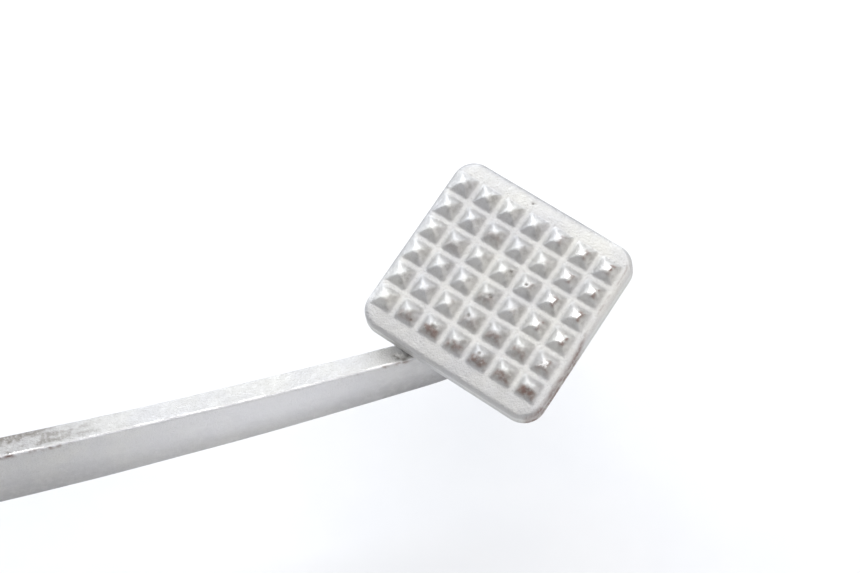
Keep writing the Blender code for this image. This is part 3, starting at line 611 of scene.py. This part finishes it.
def pad_top():
    """Points of the pad's top skin as a grid, with its marks of bare metal, rust, dirt and painted shade.
    """
    x, y, inside = pad_grid()
    sharp, worn, wear, stain, grime, outer_side, foot_shade = stud_surface(x, y)
    flat = np.stack([x, y, np.zeros_like(x)], axis=-1)
    rough = noise_at(flat, 1.1, 7.0)
    coarse = noise_at(flat, 4.5, 1.0)
    over = sharp - worn - 0.07 * rough
    height = blur(np.minimum(sharp, worn + 0.07 * rough + 0.1 * np.maximum(over, 0)), PAINT_BLUR)
    bare = smooth_step(0.05, 0.55, over + 0.35 * rough) * smooth_step(0.28, 0.6, wear)
    worn_edge = smooth_step(-0.9, 0.0, over) * (1 - bare) * smooth_step(0.25, 0.6, wear)
    rust = worn_edge * (0.15 + 0.75 * outer_side) * smooth_step(-0.5, 0.2, rough)
    rust = np.maximum(rust, 0.9 * stain * smooth_step(-0.6, 0.2, rough))
    dirt = grime * smooth_step(-0.5, 0.5, 0.6 * noise_at(flat, 3.0, 3.0) + 0.7 * rough)
    dirt = np.maximum(dirt, 0.8 * stain)
    for pit_x, pit_y, size, depth in PAD_PITS:
        reach = ((x - pit_x) ** 2 + (y - pit_y) ** 2) / size ** 2
        pit = np.exp(-reach * (1 + 0.9 * rough))
        height = height - depth * pit
        dirt = np.maximum(dirt, 0.85 * smooth_step(0.25, 0.9, pit))
    on_rim = np.maximum(PAD_ROUNDING - inside, 0)
    drop = PAD_ROUNDING - np.sqrt(np.maximum(PAD_ROUNDING ** 2 - on_rim ** 2, 0))
    height = height - drop + 0.15 * (smooth_step(0.0, 3.0, inside) - 1) + 0.04 * coarse + 0.022 * rough

    rust = np.maximum(rust, edge_stain(flat, inside))
    # Painted shade: the rim darker along the two far sides, a darker band by the near edge, and the painted
    # shade at the studs' feet.
    far_sides = smooth_step(0.1, 0.7, (y - x) / PAD_FAR)
    painted_shade = 0.8 * smooth_step(1.7, 0.2, inside) * far_sides + 0.3 * smooth_step(-18.3, -19.8, y) + foot_shade
    return np.stack([x, y, height], axis=-1), {"bare": bare, "rust": rust, "dirt": dirt, "painted_shade": painted_shade}


def make_foot_pad(material):
    """The cast pad: a rounded rim, hollow-faced pyramids in shallow pockets, worn tips, casting faults."""
    top, marks = pad_top()
    shape = top.shape[:2]
    outline = loop_of_grid(shape)
    top = top.reshape(-1, 3)
    rim = top[outline]
    along = np.roll(rim, -1, axis=0) - np.roll(rim, 1, axis=0)
    outward = np.stack([along[:, 1], -along[:, 0], np.zeros(len(rim))], axis=1)
    outward /= np.linalg.norm(outward, axis=1, keepdims=True)
    outward *= np.sign(np.sum(outward * rim))
    wall = [(0.0, -1.9), (0.0, -2.6), (-0.04, -3.2), (-0.04, -3.6), (0.02, -3.9), (0.12, -4.2)]
    lip = [(PAD_DRAFT - 0.03, -4.5), (PAD_DRAFT, -4.8), (PAD_DRAFT - 0.06, -5.2),
           (PAD_DRAFT - 0.35, -5.5), (PAD_DRAFT - 0.9, -PAD_THICKNESS)]
    levels = wall + lip
    points = [top]
    faces = grid_faces(shape)
    last = outline
    for number, (offset, z) in enumerate(levels):
        level = rim + outward * offset
        level[:, 2] = z
        current = len(top) + number * len(outline) + np.arange(len(outline))
        points.append(level)
        faces += np.stack([last, np.roll(last, -1), np.roll(current, -1), current], axis=1).tolist()
        last = current
    faces.append(last.tolist())
    points = np.concatenate(points)
    sides = {name: np.zeros(len(points) - len(top)) for name in marks}
    sides["rust"] = edge_stain(points[len(top):], 0.0)
    marks = {name: np.concatenate([field.ravel(), sides[name]]) for name, field in marks.items()}
    make_piece("foot_pad_cast", place_on_pad(points), faces, material, "pedal",
               ["foot_pad"], 50.0, marks)


def grid_faces(shape):
    index = np.arange(shape[0] * shape[1]).reshape(shape)
    corners = [index[:-1, :-1], index[1:, :-1], index[1:, 1:], index[:-1, 1:]]
    return np.stack(corners, axis=-1).reshape(-1, 4).tolist()


def loop_of_grid(shape):
    """Indices of a grid's outer points, in order round it."""
    index = np.arange(shape[0] * shape[1]).reshape(shape)
    return np.concatenate([index[:, 0], index[-1, 1:], index[-2::-1, -1], index[0, -2:0:-1]])


# ---------------------------------------------------------------- arm

def arm_middle(x):
    return ARM_Y + x * x / (2 * ARM_BEND_RADIUS)


def pad_underside(x, y):
    """Height of the pad's underside above a point."""
    normal = pad_matrix().to_3x3() @ Vector((0, 0, 1))
    centre = PAD_CENTRE / MM
    beside = normal.x * (x - centre.x) + normal.y * (y - centre.y)
    return centre.z - (PAD_THICKNESS + beside) / normal.z


def arm_bottom(x):
    taper = ARM_TOP - ARM_DEPTH + ARM_TAPER * x
    rise = max(0.0, x - ARM_RISE_X) ** 2 / (2 * ARM_RISE_RADIUS)
    toe = min(1.0, max(0.0, x - ARM_TOE_X) / (ARM_END_X - ARM_TOE_X))
    return taper + rise + ARM_TOE_HEIGHT * (1 - math.sqrt(1 - toe * toe))


def rounded_section(low_y, high_y, low_z, high_z, radius):
    """Points round a rectangle with rounded corners, as (y, z), the near top corner first."""
    corners = [(low_y, high_z, 0.5), (low_y, low_z, 1.0), (high_y, low_z, 1.5), (high_y, high_z, 0.0)]
    flats = (18, 6, 18, 16)
    turned = []
    for y, z, start in corners:
        middle_y = y + radius if y == low_y else y - radius
        middle_z = z - radius if z == high_z else z + radius
        angles = (start + np.linspace(0, 0.5, 6)) * math.pi
        across, up = radius * np.cos(angles), radius * np.sin(angles)
        turned.append(np.stack([middle_y + across, middle_z + up], axis=1))
    section = []
    for index, count in enumerate(flats):
        section.append(turned[index])
        start, end = turned[index][-1], turned[(index + 1) % 4][0]
        share = np.linspace(0, 1, count + 1)[1:-1, None]
        section.append(start + (end - start) * share)
    return np.concatenate(section)


def fill_to_pad(rows):
    """Raise the arm's top to meet the underside of the pad, only where the pad covers it."""
    to_pad = np.array(pad_matrix().inverted())
    inside = (rows @ to_pad[:3, :3].T + to_pad[:3, 3])[..., 1] - PAD_NEAR
    covered = smooth_step(0.6, 2.2, inside) * smooth_step(ARM_RISE_X - 8, ARM_RISE_X - 4, rows[..., 0])
    upper = smooth_step(ARM_TOP - 3.0, ARM_TOP - 0.6, rows[..., 2])
    underside = pad_underside(rows[..., 0], rows[..., 1])
    lift = (underside + 0.25 - ARM_TOP) * covered * upper
    rows[..., 2] += np.where(underside > ARM_TOP - 3.0, lift, np.minimum(lift, 0))
    return rows


def make_arm(material):
    """The forged bar: tapered, with a slight bow, rounded edges and chipped paint along one edge."""
    toe = np.linspace(ARM_TOE_X, ARM_END_X - 0.05, 16)
    places = np.concatenate([np.linspace(ARM_START_X, ARM_TOE_X, 330), toe[1:]])
    rows = []
    for x in places:
        middle = arm_middle(x)
        near, far = middle - ARM_THICKNESS / 2, middle + ARM_THICKNESS / 2
        section = rounded_section(near, far, arm_bottom(x), ARM_TOP, ARM_EDGE)
        rows.append(np.column_stack([np.full(len(section), x), section]))
    rows = fill_to_pad(np.array(rows))
    depth = 0.10 * noise_at(rows, 24.0, 2.0) + 0.03 * noise_at(rows, 5.0, 9.0)
    middle = np.array([arm_middle(x) for x in places])[:, None]
    side = (rows[..., 1] - middle) / (ARM_THICKNESS / 2)
    rows[..., 1] += depth * side

    x = rows[..., 0]
    below_top = ARM_TOP - rows[..., 2]
    near_edge = np.exp(-((side + 0.84) / 0.08) ** 2) * smooth_step(0.35, 0.0, below_top)
    rounded_edge = np.exp(-((side + 0.93) / 0.07) ** 2) * smooth_step(0.6, 0.3, below_top)
    corner = np.exp(-((side + 0.97) / 0.07) ** 2) * smooth_step(0.9, 0.5, below_top)
    streaks = noise_at(rows * (0.12, 1, 1), 1.0, 4.0)
    spots = noise_at(rows, 1.2, 6.0)
    bare = near_edge * smooth_step(-0.35, 0.15, streaks)
    rust = np.zeros_like(x)
    ragged = smooth_step(-0.35, 0.1, spots)
    for place, half in ARM_CHIPS:
        rust = np.maximum(rust, corner * np.exp(-((x - place) / half) ** 2) * ragged)
    bare = bare * (1 - rust)
    on_top = smooth_step(0.8, 0.1, below_top)
    pivotward = smooth_step(106.0, 70.0, x)
    padward = smooth_step(135.0, 172.0, x)
    smudges = 0.3 + 0.7 * smooth_step(-0.1, 0.45, streaks + 0.7 * spots)
    dirt = on_top * (0.13 + 0.75 * pivotward * smudges) * smooth_step(-0.95, -0.7, side)
    for place, offset, size in ARM_PITS:
        pit = np.exp(-(((x - place) ** 2 + (rows[..., 1] - middle - offset) ** 2) / size ** 2))
        rows[..., 2] -= 0.45 * pit * on_top
        dirt = np.maximum(dirt, 0.75 * smooth_step(0.2, 0.8, pit) * on_top)
    # Painted shade on the bar: its side darker towards the bottom edge and beside the pad, where the pad's
    # shadow falls, and darker towards the pivot end; its top face darker too, most towards the pivot end.
    down = below_top / (ARM_TOP - rows[..., 2].min(axis=1, keepdims=True))
    lower = smooth_step(0.3, 1.0, down)
    on_side = lower * (0.38 + 0.3 * padward + 0.25 * pivotward) + 0.25 * padward + 0.12 * pivotward
    on_side += 0.04 * streaks
    on_face = (0.28 - 0.1 * padward + 0.2 * pivotward) * smooth_step(-0.95, -0.7, side)
    painted_shade = on_side * (1 - on_top) + on_face * on_top
    # Painted light: the upper part of the bar's near side paler from the middle towards the pad, less so
    # beside the pad, and a painted highlight along the rounded near top edge.
    painted_light = 0.75 * smooth_step(70.0, 130.0, x) * smooth_step(1.05, 0.5, down)
    painted_light *= (1 - on_top) * (1 - 0.6 * padward)
    painted_light = np.maximum(painted_light, rounded_edge * (1 - rust))
    points, faces = to_arrays(rows)
    marks = {"bare": bare, "rust": rust, "dirt": dirt, "painted_shade": painted_shade, "painted_light": painted_light}
    make_piece("arm_bar", points, faces, material, "pedal", ["pedal_arm"], 40.0, marks)


def make_bead(name, path, radius, material, node):
    """A weld bead along a path: overlapping ripples, with rounded ends."""
    path = np.asarray(path, float)
    length = np.concatenate([[0], np.cumsum(np.linalg.norm(np.diff(path, axis=0), axis=1))])
    ripple = 0.06 * np.abs(np.sin(length * math.pi / 1.1))
    ends = np.minimum(length, length[-1] - length)
    close = np.sqrt(np.clip(1 - (1 - np.clip(ends / radius, 0.03, 1)) ** 2, 0, 1))
    rows = tube_rows(path, radius * close * (0.94 + ripple), 28)
    rows += (0.10 * noise_at(rows, 2.2, 8.0))[..., None] * (rows - path[:, None, :]) / radius
    points, faces = to_arrays(rows)
    marks = {"dirt": 0.5 * smooth_step(0.1, 0.6, noise_at(points, 3.0, 2.0))}
    make_piece(name, points, faces, material, "pedal", [node], 60.0, marks)


def make_pad_welds(material):
    for word, side in (("near", -1), ("far", 1)):
        path = []
        for x in np.linspace(PAD_BEAD_START_X, PAD_BEAD_END_X, 130):
            y = arm_middle(x) + side * (ARM_THICKNESS / 2 + 0.25)
            path.append((x, y, pad_underside(x, y) - 0.35))
        make_bead("pad_bead_" + word, path, BEAD_RADIUS, material, "pad_weld_" + word)


def make_ring_welds(material):
    reach = BOSS_RADIUS + 0.1
    for label, facing, span in (("boss", 0.0, BOSS_BEAD_SPAN), ("rod_lever", math.pi, ROD_LEVER_BEAD_SPAN)):
        for word, side in (("near", -1), ("far", 1)):
            y = ARM_Y + side * (ARM_THICKNESS / 2 + 0.1)
            angles = facing + np.linspace(-span, span, 120)
            path = [(reach * math.cos(angle), y, reach * math.sin(angle)) for angle in angles]
            make_bead(f"{label}_bead_{word}", path, BEAD_RADIUS, material, f"{label}_weld_{word}")


# ---------------------------------------------------------------- pivot

def make_pivot_bolt(material):
    half = BOLT_FLATS / 2
    collar = BOLT_HEAD_Y + 2.0
    thread_start, thread_end = BOLT_END_Y + 0.9, -0.5
    profile = [(3.2, BOLT_END_Y, 0), (4.1, BOLT_END_Y, 0), (BOLT_RADIUS, thread_start, 0)]
    profile += plain_length(BOLT_RADIUS, thread_start + 0.1, thread_end, BOLT_PITCH)
    profile += [(BOLT_RADIUS, BOLT_HEAD_Y, 0), (BOLT_FLANGE_RADIUS, BOLT_HEAD_Y, 0),
                (BOLT_FLANGE_RADIUS, BOLT_HEAD_Y + 0.9, 0), (8.6, collar, 0), (half, collar + 0.1, 1),
                (half, BOLT_TOP_Y - 0.9, 1), (half - 0.25, BOLT_TOP_Y, 0), (5.6, BOLT_TOP_Y, 0),
                (5.0, BOLT_TOP_Y - 0.4, 0), (0.4, BOLT_TOP_Y - 0.4, 0)]
    turned("pivot_bolt", profile, 96, material, "frame_side", "zinc", reach=0.25,
           thread=(BOLT_RADIUS, thread_start, thread_end, BOLT_PITCH))


def ring_profile(inner, outer, start, thickness):
    end = start + thickness
    return [(inner, start, 0), (outer, start, 0), (outer, end, 0), (inner, end, 0)]


def make_washers_and_sleeve(material):
    sleeve = ring_profile(SLEEVE_BORE, SLEEVE_RADIUS, 0.0, SLEEVE_END_Y)
    turned("pivot_sleeve", sleeve, 80, material, "frame_side", "zinc", closed=True)
    inner = ring_profile(SLEEVE_RADIUS + GAP, INNER_WASHER_RADIUS, INNER_WASHER_Y, WASHER_THICKNESS)
    turned("thrust_washer_inboard", inner, 96, material, "frame_side", "zinc", closed=True)
    outer = ring_profile(SLEEVE_BORE, OUTER_WASHER_RADIUS, OUTER_WASHER_Y, WASHER_THICKNESS)
    turned("thrust_washer_outboard", outer, 96, material, "frame_side", "zinc", closed=True)


def make_spring_washer(material):
    """A split ring whose two ends stand slightly apart."""
    stand = 0.4
    ring = ring_profile(SLEEVE_BORE, SPRING_WASHER_RADIUS, SPRING_WASHER_Y, SPRING_WASHER_THICKNESS - stand)
    section = soften(ring, 0.25, True)
    half_gap = math.radians(4)
    rows = []
    for angle in np.linspace(half_gap, 2 * math.pi - half_gap, 90):
        lift = stand * angle / (2 * math.pi)
        rows.append([(reach * math.cos(angle), y + lift, reach * math.sin(angle))
                     for reach, y, _ in section])
    points, faces = to_arrays(rows)
    make_piece("spring_washer_split", points, faces, material, "frame_side", ["spring_washer"])


def make_bushes_and_seals(metal, soft):
    for word, flange, way in (("inboard", INNER_FLANGE_Y, 1), ("outboard", OUTER_FLANGE_Y + FLANGE, -1)):
        inner_face = flange + way * FLANGE
        end = inner_face + way * BUSH_BARREL
        bush = [(BUSH_BORE, flange, 0), (BUSH_FLANGE_RADIUS, flange, 0),
                (BUSH_FLANGE_RADIUS, inner_face, 0), (BUSH_RADIUS, inner_face, 0),
                (BUSH_RADIUS, end, 0), (BUSH_BORE, end, 0)]
        turned("bush_" + word, bush, 80, metal, "pedal", "bronze", closed=True, reach=0.2)
    for word, start, outer in (("inboard", INNER_FLANGE_Y, INNER_WASHER_RADIUS),
                               ("outboard", OUTER_FLANGE_Y, OUTER_WASHER_RADIUS)):
        inner = BUSH_FLANGE_RADIUS + GAP
        end = start + FLANGE
        lip = [(inner, start, 0), (outer - 0.1, start, 0), (outer, start + 0.35, 0),
               (outer - 0.3, start + FLANGE / 2, 0), (outer, end - 0.35, 0), (outer - 0.1, end, 0),
               (inner, end, 0)]
        turned("seal_" + word, lip, 96, soft, "pedal", "rubber", closed=True, reach=0.15)


def make_boss(material):
    chamfer = 0.8
    profile = [(BOSS_BORE, BOSS_START_Y, 0), (SEAT_RADIUS - 0.3, BOSS_START_Y, 0),
               (SEAT_RADIUS, BOSS_START_Y + 0.5, 0), (SEAT_RADIUS, BOSS_SHOULDER_Y, 0),
               (BOSS_RADIUS - chamfer, BOSS_SHOULDER_Y, 0), (BOSS_RADIUS, BOSS_SHOULDER_Y + chamfer, 0)]
    profile += [(BOSS_RADIUS, y, 0) for y in np.linspace(BOSS_SHOULDER_Y + 1.4, BOSS_END_Y - 1.4, 24)]
    profile += [(BOSS_RADIUS, BOSS_END_Y - chamfer, 0), (BOSS_RADIUS - chamfer, BOSS_END_Y, 0),
                (BOSS_BORE, BOSS_END_Y, 0)]
    rows = turned_rows(soften(profile, 0.3, True), 140)
    reach = np.hypot(rows[..., 0], rows[..., 2])
    outside = smooth_step(BOSS_BORE + 0.5, SEAT_RADIUS - 0.2, reach)
    uneven = 0.05 * noise_at(rows, 5.0, 4.0) + 0.025 * noise_at(rows, 1.5, 2.0) - 0.05
    rows[..., [0, 2]] *= (1 + uneven * outside / reach)[..., None]
    points, faces = to_arrays(rows, closed_along=True)
    reach = np.hypot(points[:, 0], points[:, 2])
    on_end = smooth_step(BOSS_END_Y - 0.25, BOSS_END_Y - 0.05, points[:, 1])
    worn = on_end * smooth_step(-0.3, 0.3, noise_at(points, 3.0, 5.0))
    dirt = 0.5 * smooth_step(0.1, 0.6, noise_at(points, 6.0, 1.0))
    marks = {"bare": worn, "rust": 0.4 * worn * (reach > BOSS_RADIUS - 1.4), "dirt": dirt}
    make_piece("pivot_boss_turned", points, faces, material, "pedal",
               ["pivot_boss"], 40.0, marks)


def make_grease_nipple(material):
    base = BOSS_RADIUS + GAP
    outline = [(1.0, 0, 0), (2.2, 0, 0), (2.2, 0.8, 0), (3.0, 0.8, 0), (3.5, 1.3, 1), (3.5, 3.7, 1),
               (3.0, 4.2, 0), (2.2, 4.4, 0), (1.6, 6.0, 0), (2.4, 7.2, 0), (2.4, 8.0, 0),
               (1.2, 9.6, 0), (0.5, 9.6, 0), (0.35, 9.2, 0)]
    profile = [(size, base + height, share) for size, height, share in outline]
    lean = Matrix.Translation((0, ARM_Y, 0)) @ Matrix.Rotation(NIPPLE_LEAN, 4, "Y")
    turned("grease_nipple", profile, 48, material, "pedal", "zinc", lean @ upright(0, 0, 0), reach=0.25)


# ---------------------------------------------------------------- rear end

def softened_copy(node, material, body, bevel=0.45, uneven=0.0):
    """A copy of a CAD node with rounded edges, a finer skin, and a slightly uneven surface."""
    source = frame["nodes"][node]
    bm = bmesh.new()
    bm.from_mesh(source.data)
    bm.transform(source.matrix_world)
    bmesh.ops.remove_doubles(bm, verts=bm.verts, dist=1e-6)
    bmesh.ops.dissolve_limit(bm, angle_limit=math.radians(0.5), verts=bm.verts, edges=bm.edges)
    sharp = [edge for edge in bm.edges if edge.calc_face_angle(0) > math.radians(28)]
    bmesh.ops.bevel(bm, geom=sharp, offset=bevel * MM, segments=3, profile=0.5, affect="EDGES",
                    clamp_overlap=True)
    bmesh.ops.triangulate(bm, faces=bm.faces)
    for _ in range(5):
        long_edges = [edge for edge in bm.edges if edge.calc_length() > 0.9 * MM]
        bmesh.ops.subdivide_edges(bm, edges=long_edges, cuts=1)
        bmesh.ops.triangulate(bm, faces=bm.faces)
    bm.normal_update()
    for vert in bm.verts:
        place = vert.co / MM
        vert.co -= vert.normal * uneven * MM * (0.5 + 0.5 * noise.noise(place / 2.5))
    mesh = bpy.data.meshes.new(node + "_softened")
    bm.to_mesh(mesh)
    bm.free()
    piece = bpy.data.objects.new(node + "_softened", mesh)
    bpy.context.scene.collection.objects.link(piece)
    places = np.array([vert.co[:] for vert in mesh.vertices]) / MM
    dirt = 0.45 * smooth_step(0.1, 0.6, noise_at(places, 5.0, 6.0))
    layer = mesh.attributes.new("dirt", "FLOAT", "POINT")
    layer.data.foreach_set("value", dirt.astype(np.float32))
    finish_piece(piece, material, body, [node], 40.0)


def small_nut():
    """The profile of a nut for the 6 mm threads."""
    bore, half, chamfer = SMALL_RADIUS + GAP, SMALL_FLATS / 2, 0.6
    return [(bore, 0, 0), (half - 0.1, 0, 0), (half, chamfer, 1), (half, NUT_HEIGHT - chamfer, 1),
            (half - 0.1, NUT_HEIGHT, 0), (bore, NUT_HEIGHT, 0)]


def make_stop_screw(material):
    half = SMALL_FLATS / 2
    length = STOP_HIGH_Z - STOP_LOW_Z
    profile = [(1.0, 0.25, 0), (3.4, 0.25, 0), (3.8, 0, 0), (half - 0.2, 0, 0), (half, 0.7, 1),
               (half, STOP_HEAD, 1), (SMALL_RADIUS, STOP_HEAD, 0)]
    profile += plain_length(SMALL_RADIUS, STOP_HEAD + 0.6, length - 0.7, SMALL_PITCH)
    profile += [(SMALL_RADIUS - 0.6, length, 0), (0.3, length, 0)]
    turned("stop_bolt", profile, 60, material, "stop_screw", "zinc", upright(STOP_X, STOP_Y, STOP_LOW_Z),
           reach=0.2, thread=(SMALL_RADIUS, STOP_HEAD + 0.6, length - 0.6, SMALL_PITCH))
    turned("stop_locknut", small_nut(), 72, material, "pedal", "zinc", upright(STOP_X, STOP_Y, STOP_NUT_Z),
           closed=True, reach=0.2)


def make_pushrod(material):
    length = ROD_TOP_Z - ROD_END_Z
    profile = [(1.0, 0, 0), (SMALL_RADIUS - 0.6, 0, 0)]
    profile += plain_length(SMALL_RADIUS, 0.6, length - 0.6, SMALL_PITCH)
    profile += [(SMALL_RADIUS - 0.6, length, 0), (0.3, length, 0)]
    turned("pushrod", profile, 60, material, "clevis_fork", "zinc", upright(PIN_X, ARM_Y, ROD_END_Z),
           reach=0.2, thread=(SMALL_RADIUS, 0.5, length - 0.5, SMALL_PITCH))
    turned("clevis_locknut", small_nut(), 72, material, "clevis_fork", "zinc",
           upright(PIN_X, ARM_Y, CLEVIS_FOOT_Z - GAP - NUT_HEIGHT), closed=True, reach=0.2)


def make_clevis_washer(material):
    washer = ring_profile(SMALL_RADIUS + GAP, PIN_WASHER_RADIUS, CLEVIS_HALF_DEPTH + GAP, 1.2)
    turned("clevis_pin_washer", washer, 64, material, "clevis_fork", "zinc",
           Matrix.Translation((PIN_X, ARM_Y, 0)), closed=True)


# ---------------------------------------------------------------- return spring

def bend_corner(before, corner, after):
    """A bend in place of a corner, as a curve that leaves both sides smoothly."""
    back = (before - corner).normalized() * HOOK_BEND
    ahead = (after - corner).normalized() * HOOK_BEND
    steps = 14
    made = []
    for step in range(steps + 1):
        t = step / steps
        made.append(corner + back * (1 - t) ** 2 + ahead * t ** 2)
    return made


def spring_path():
    """The wire from its hook on the frame, round the coil, to its hook under the arm."""
    reach = Vector((MOVING_LEG_X, 0, arm_bottom(MOVING_LEG_X) - GAP - WIRE_RADIUS))
    leave = math.atan2(reach.z, reach.x) + math.acos(COIL_RADIUS / reach.length)
    swept = math.pi - leave + 2 * math.pi * COIL_TURNS
    coil = []
    for share in np.linspace(0, 1, 220):
        angle = math.pi - swept * share
        y = COIL_START_Y + COIL_PITCH * swept * share / (2 * math.pi)
        coil.append(Vector((COIL_RADIUS * math.cos(angle), y, COIL_RADIUS * math.sin(angle))))
    low = Vector((-COIL_RADIUS, COIL_START_Y, FIXED_LEG_Z))
    hook = Vector((-COIL_RADIUS, FIXED_HOOK_Y, FIXED_LEG_Z))
    elbow = Vector((reach.x, coil[-1].y, reach.z))
    under = Vector((reach.x, MOVING_HOOK_Y, reach.z))
    fixed_leg = [hook] + bend_corner(hook, low, coil[0])
    moving_leg = bend_corner(coil[-1], elbow, under) + [under]
    return fixed_leg + coil + moving_leg


def even_points(path, step):
    """The same path with a point at every step of its length."""
    path = np.array([point[:] for point in path])
    length = np.concatenate([[0], np.cumsum(np.linalg.norm(np.diff(path, axis=0), axis=1))])
    places = np.linspace(0, length[-1], int(length[-1] / step) + 1)
    return np.column_stack([np.interp(places, length, path[:, axis]) for axis in range(3)])


def make_return_spring(material):
    path = even_points(spring_path(), 0.7)
    radius = np.full(len(path), WIRE_RADIUS)
    radius[[0, -1]] = WIRE_RADIUS - 0.3
    points, faces = to_arrays(tube_rows(path, radius, 22))
    spring = make_piece("return_spring_wire", points, faces, material, None,
                        ["return_spring"])
    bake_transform(spring)


# ---------------------------------------------------------------- stage, light and camera

def make_floor(material):
    low = CAD_BOX[0].z / MM
    half = 4000.0
    points = [(-half, -half, low), (half, -half, low), (half, half, low), (-half, half, low)]
    mesh = bpy.data.meshes.new("floor")
    mesh.from_pydata([(x * MM, y * MM, z * MM) for x, y, z in points], [], [(0, 1, 2, 3)])
    mesh.materials.append(material)
    floor = bpy.data.objects.new("floor", mesh)
    bpy.context.scene.collection.objects.link(floor)


def make_light(name, place, aim, size, power, colour):
    lamp = bpy.data.lights.new(name, "AREA")
    lamp.shape = "RECTANGLE"
    lamp.size, lamp.size_y = size
    lamp.energy = power
    lamp.color = colour
    made = bpy.data.objects.new(name, lamp)
    made.location = place
    made.rotation_euler = (Vector(aim) - Vector(place)).to_track_quat("-Z", "Y").to_euler()
    bpy.context.scene.collection.objects.link(made)


def make_lighting():
    world = bpy.data.worlds.new("studio")
    world.use_nodes = True
    background = world.node_tree.nodes["Background"]
    background.inputs["Color"].default_value = (0.88, 0.90, 1.0, 1.0)
    background.inputs["Strength"].default_value = 0.32
    bpy.context.scene.world = world
    centre = (0.12, 0.03, 0.0)
    make_light("back", (0.0, 1.1, 0.75), centre, (2.4, 1.1), 25.0, (0.91, 0.95, 1.0))
    make_light("overhead", (0.15, -0.1, 1.5), centre, (2.8, 2.4), 28.0, (1.0, 0.985, 0.955))
    make_light("right_fill", (1.1, -0.6, 0.5), centre, (0.8, 0.8), 3.0, (1.0, 0.95, 0.90))
    bpy.context.scene.view_settings.view_transform = "Standard"


def make_camera():
    flat = math.cos(CAMERA_ELEVATION)
    back = Vector((math.sin(CAMERA_AZIMUTH) * flat, -math.cos(CAMERA_AZIMUTH) * flat,
                   math.sin(CAMERA_ELEVATION)))
    data = bpy.data.cameras.new("camera")
    data.lens = CAMERA_LENS
    data.clip_start = 0.01
    camera = bpy.data.objects.new("camera", data)
    camera.location = PAD_CENTRE + CAMERA_AIM_OFFSET + back * CAMERA_DISTANCE
    camera.rotation_euler = (-back).to_track_quat("-Z", "Y").to_euler()
    bpy.context.scene.collection.objects.link(camera)
    bpy.context.scene.camera = camera


def main():
    make_camera()
    make_lighting()
    make_floor(pale_floor())
    paint = silver_paint()
    steel = zinc_plate()
    by_slot = {"silver_paint": paint, "zinc": steel, "spring_steel": spring_steel(),
               "bronze": bronze(), "rubber": rubber()}
    for row in frame["record"]["subparts"]:
        slots = frame["nodes"][row["node"]].data.materials
        slots.clear()
        slots.append(by_slot[row["material_slot"]])
    make_foot_pad(paint)
    make_arm(paint)
    make_pad_welds(paint)
    make_ring_welds(paint)
    make_boss(paint)
    make_bushes_and_seals(by_slot["bronze"], by_slot["rubber"])
    make_washers_and_sleeve(steel)
    make_spring_washer(steel)
    make_pivot_bolt(steel)
    make_grease_nipple(steel)
    softened_copy("rod_lever", paint, "pedal", uneven=0.1)
    softened_copy("stop_lug", paint, "pedal", uneven=0.1)
    softened_copy("clevis", steel, "clevis_fork", 0.35)
    softened_copy("clevis_pin", steel, "clevis_fork", 0.2)
    make_clevis_washer(steel)
    make_stop_screw(steel)
    make_pushrod(steel)
    make_return_spring(by_slot["spring_steel"])


main()
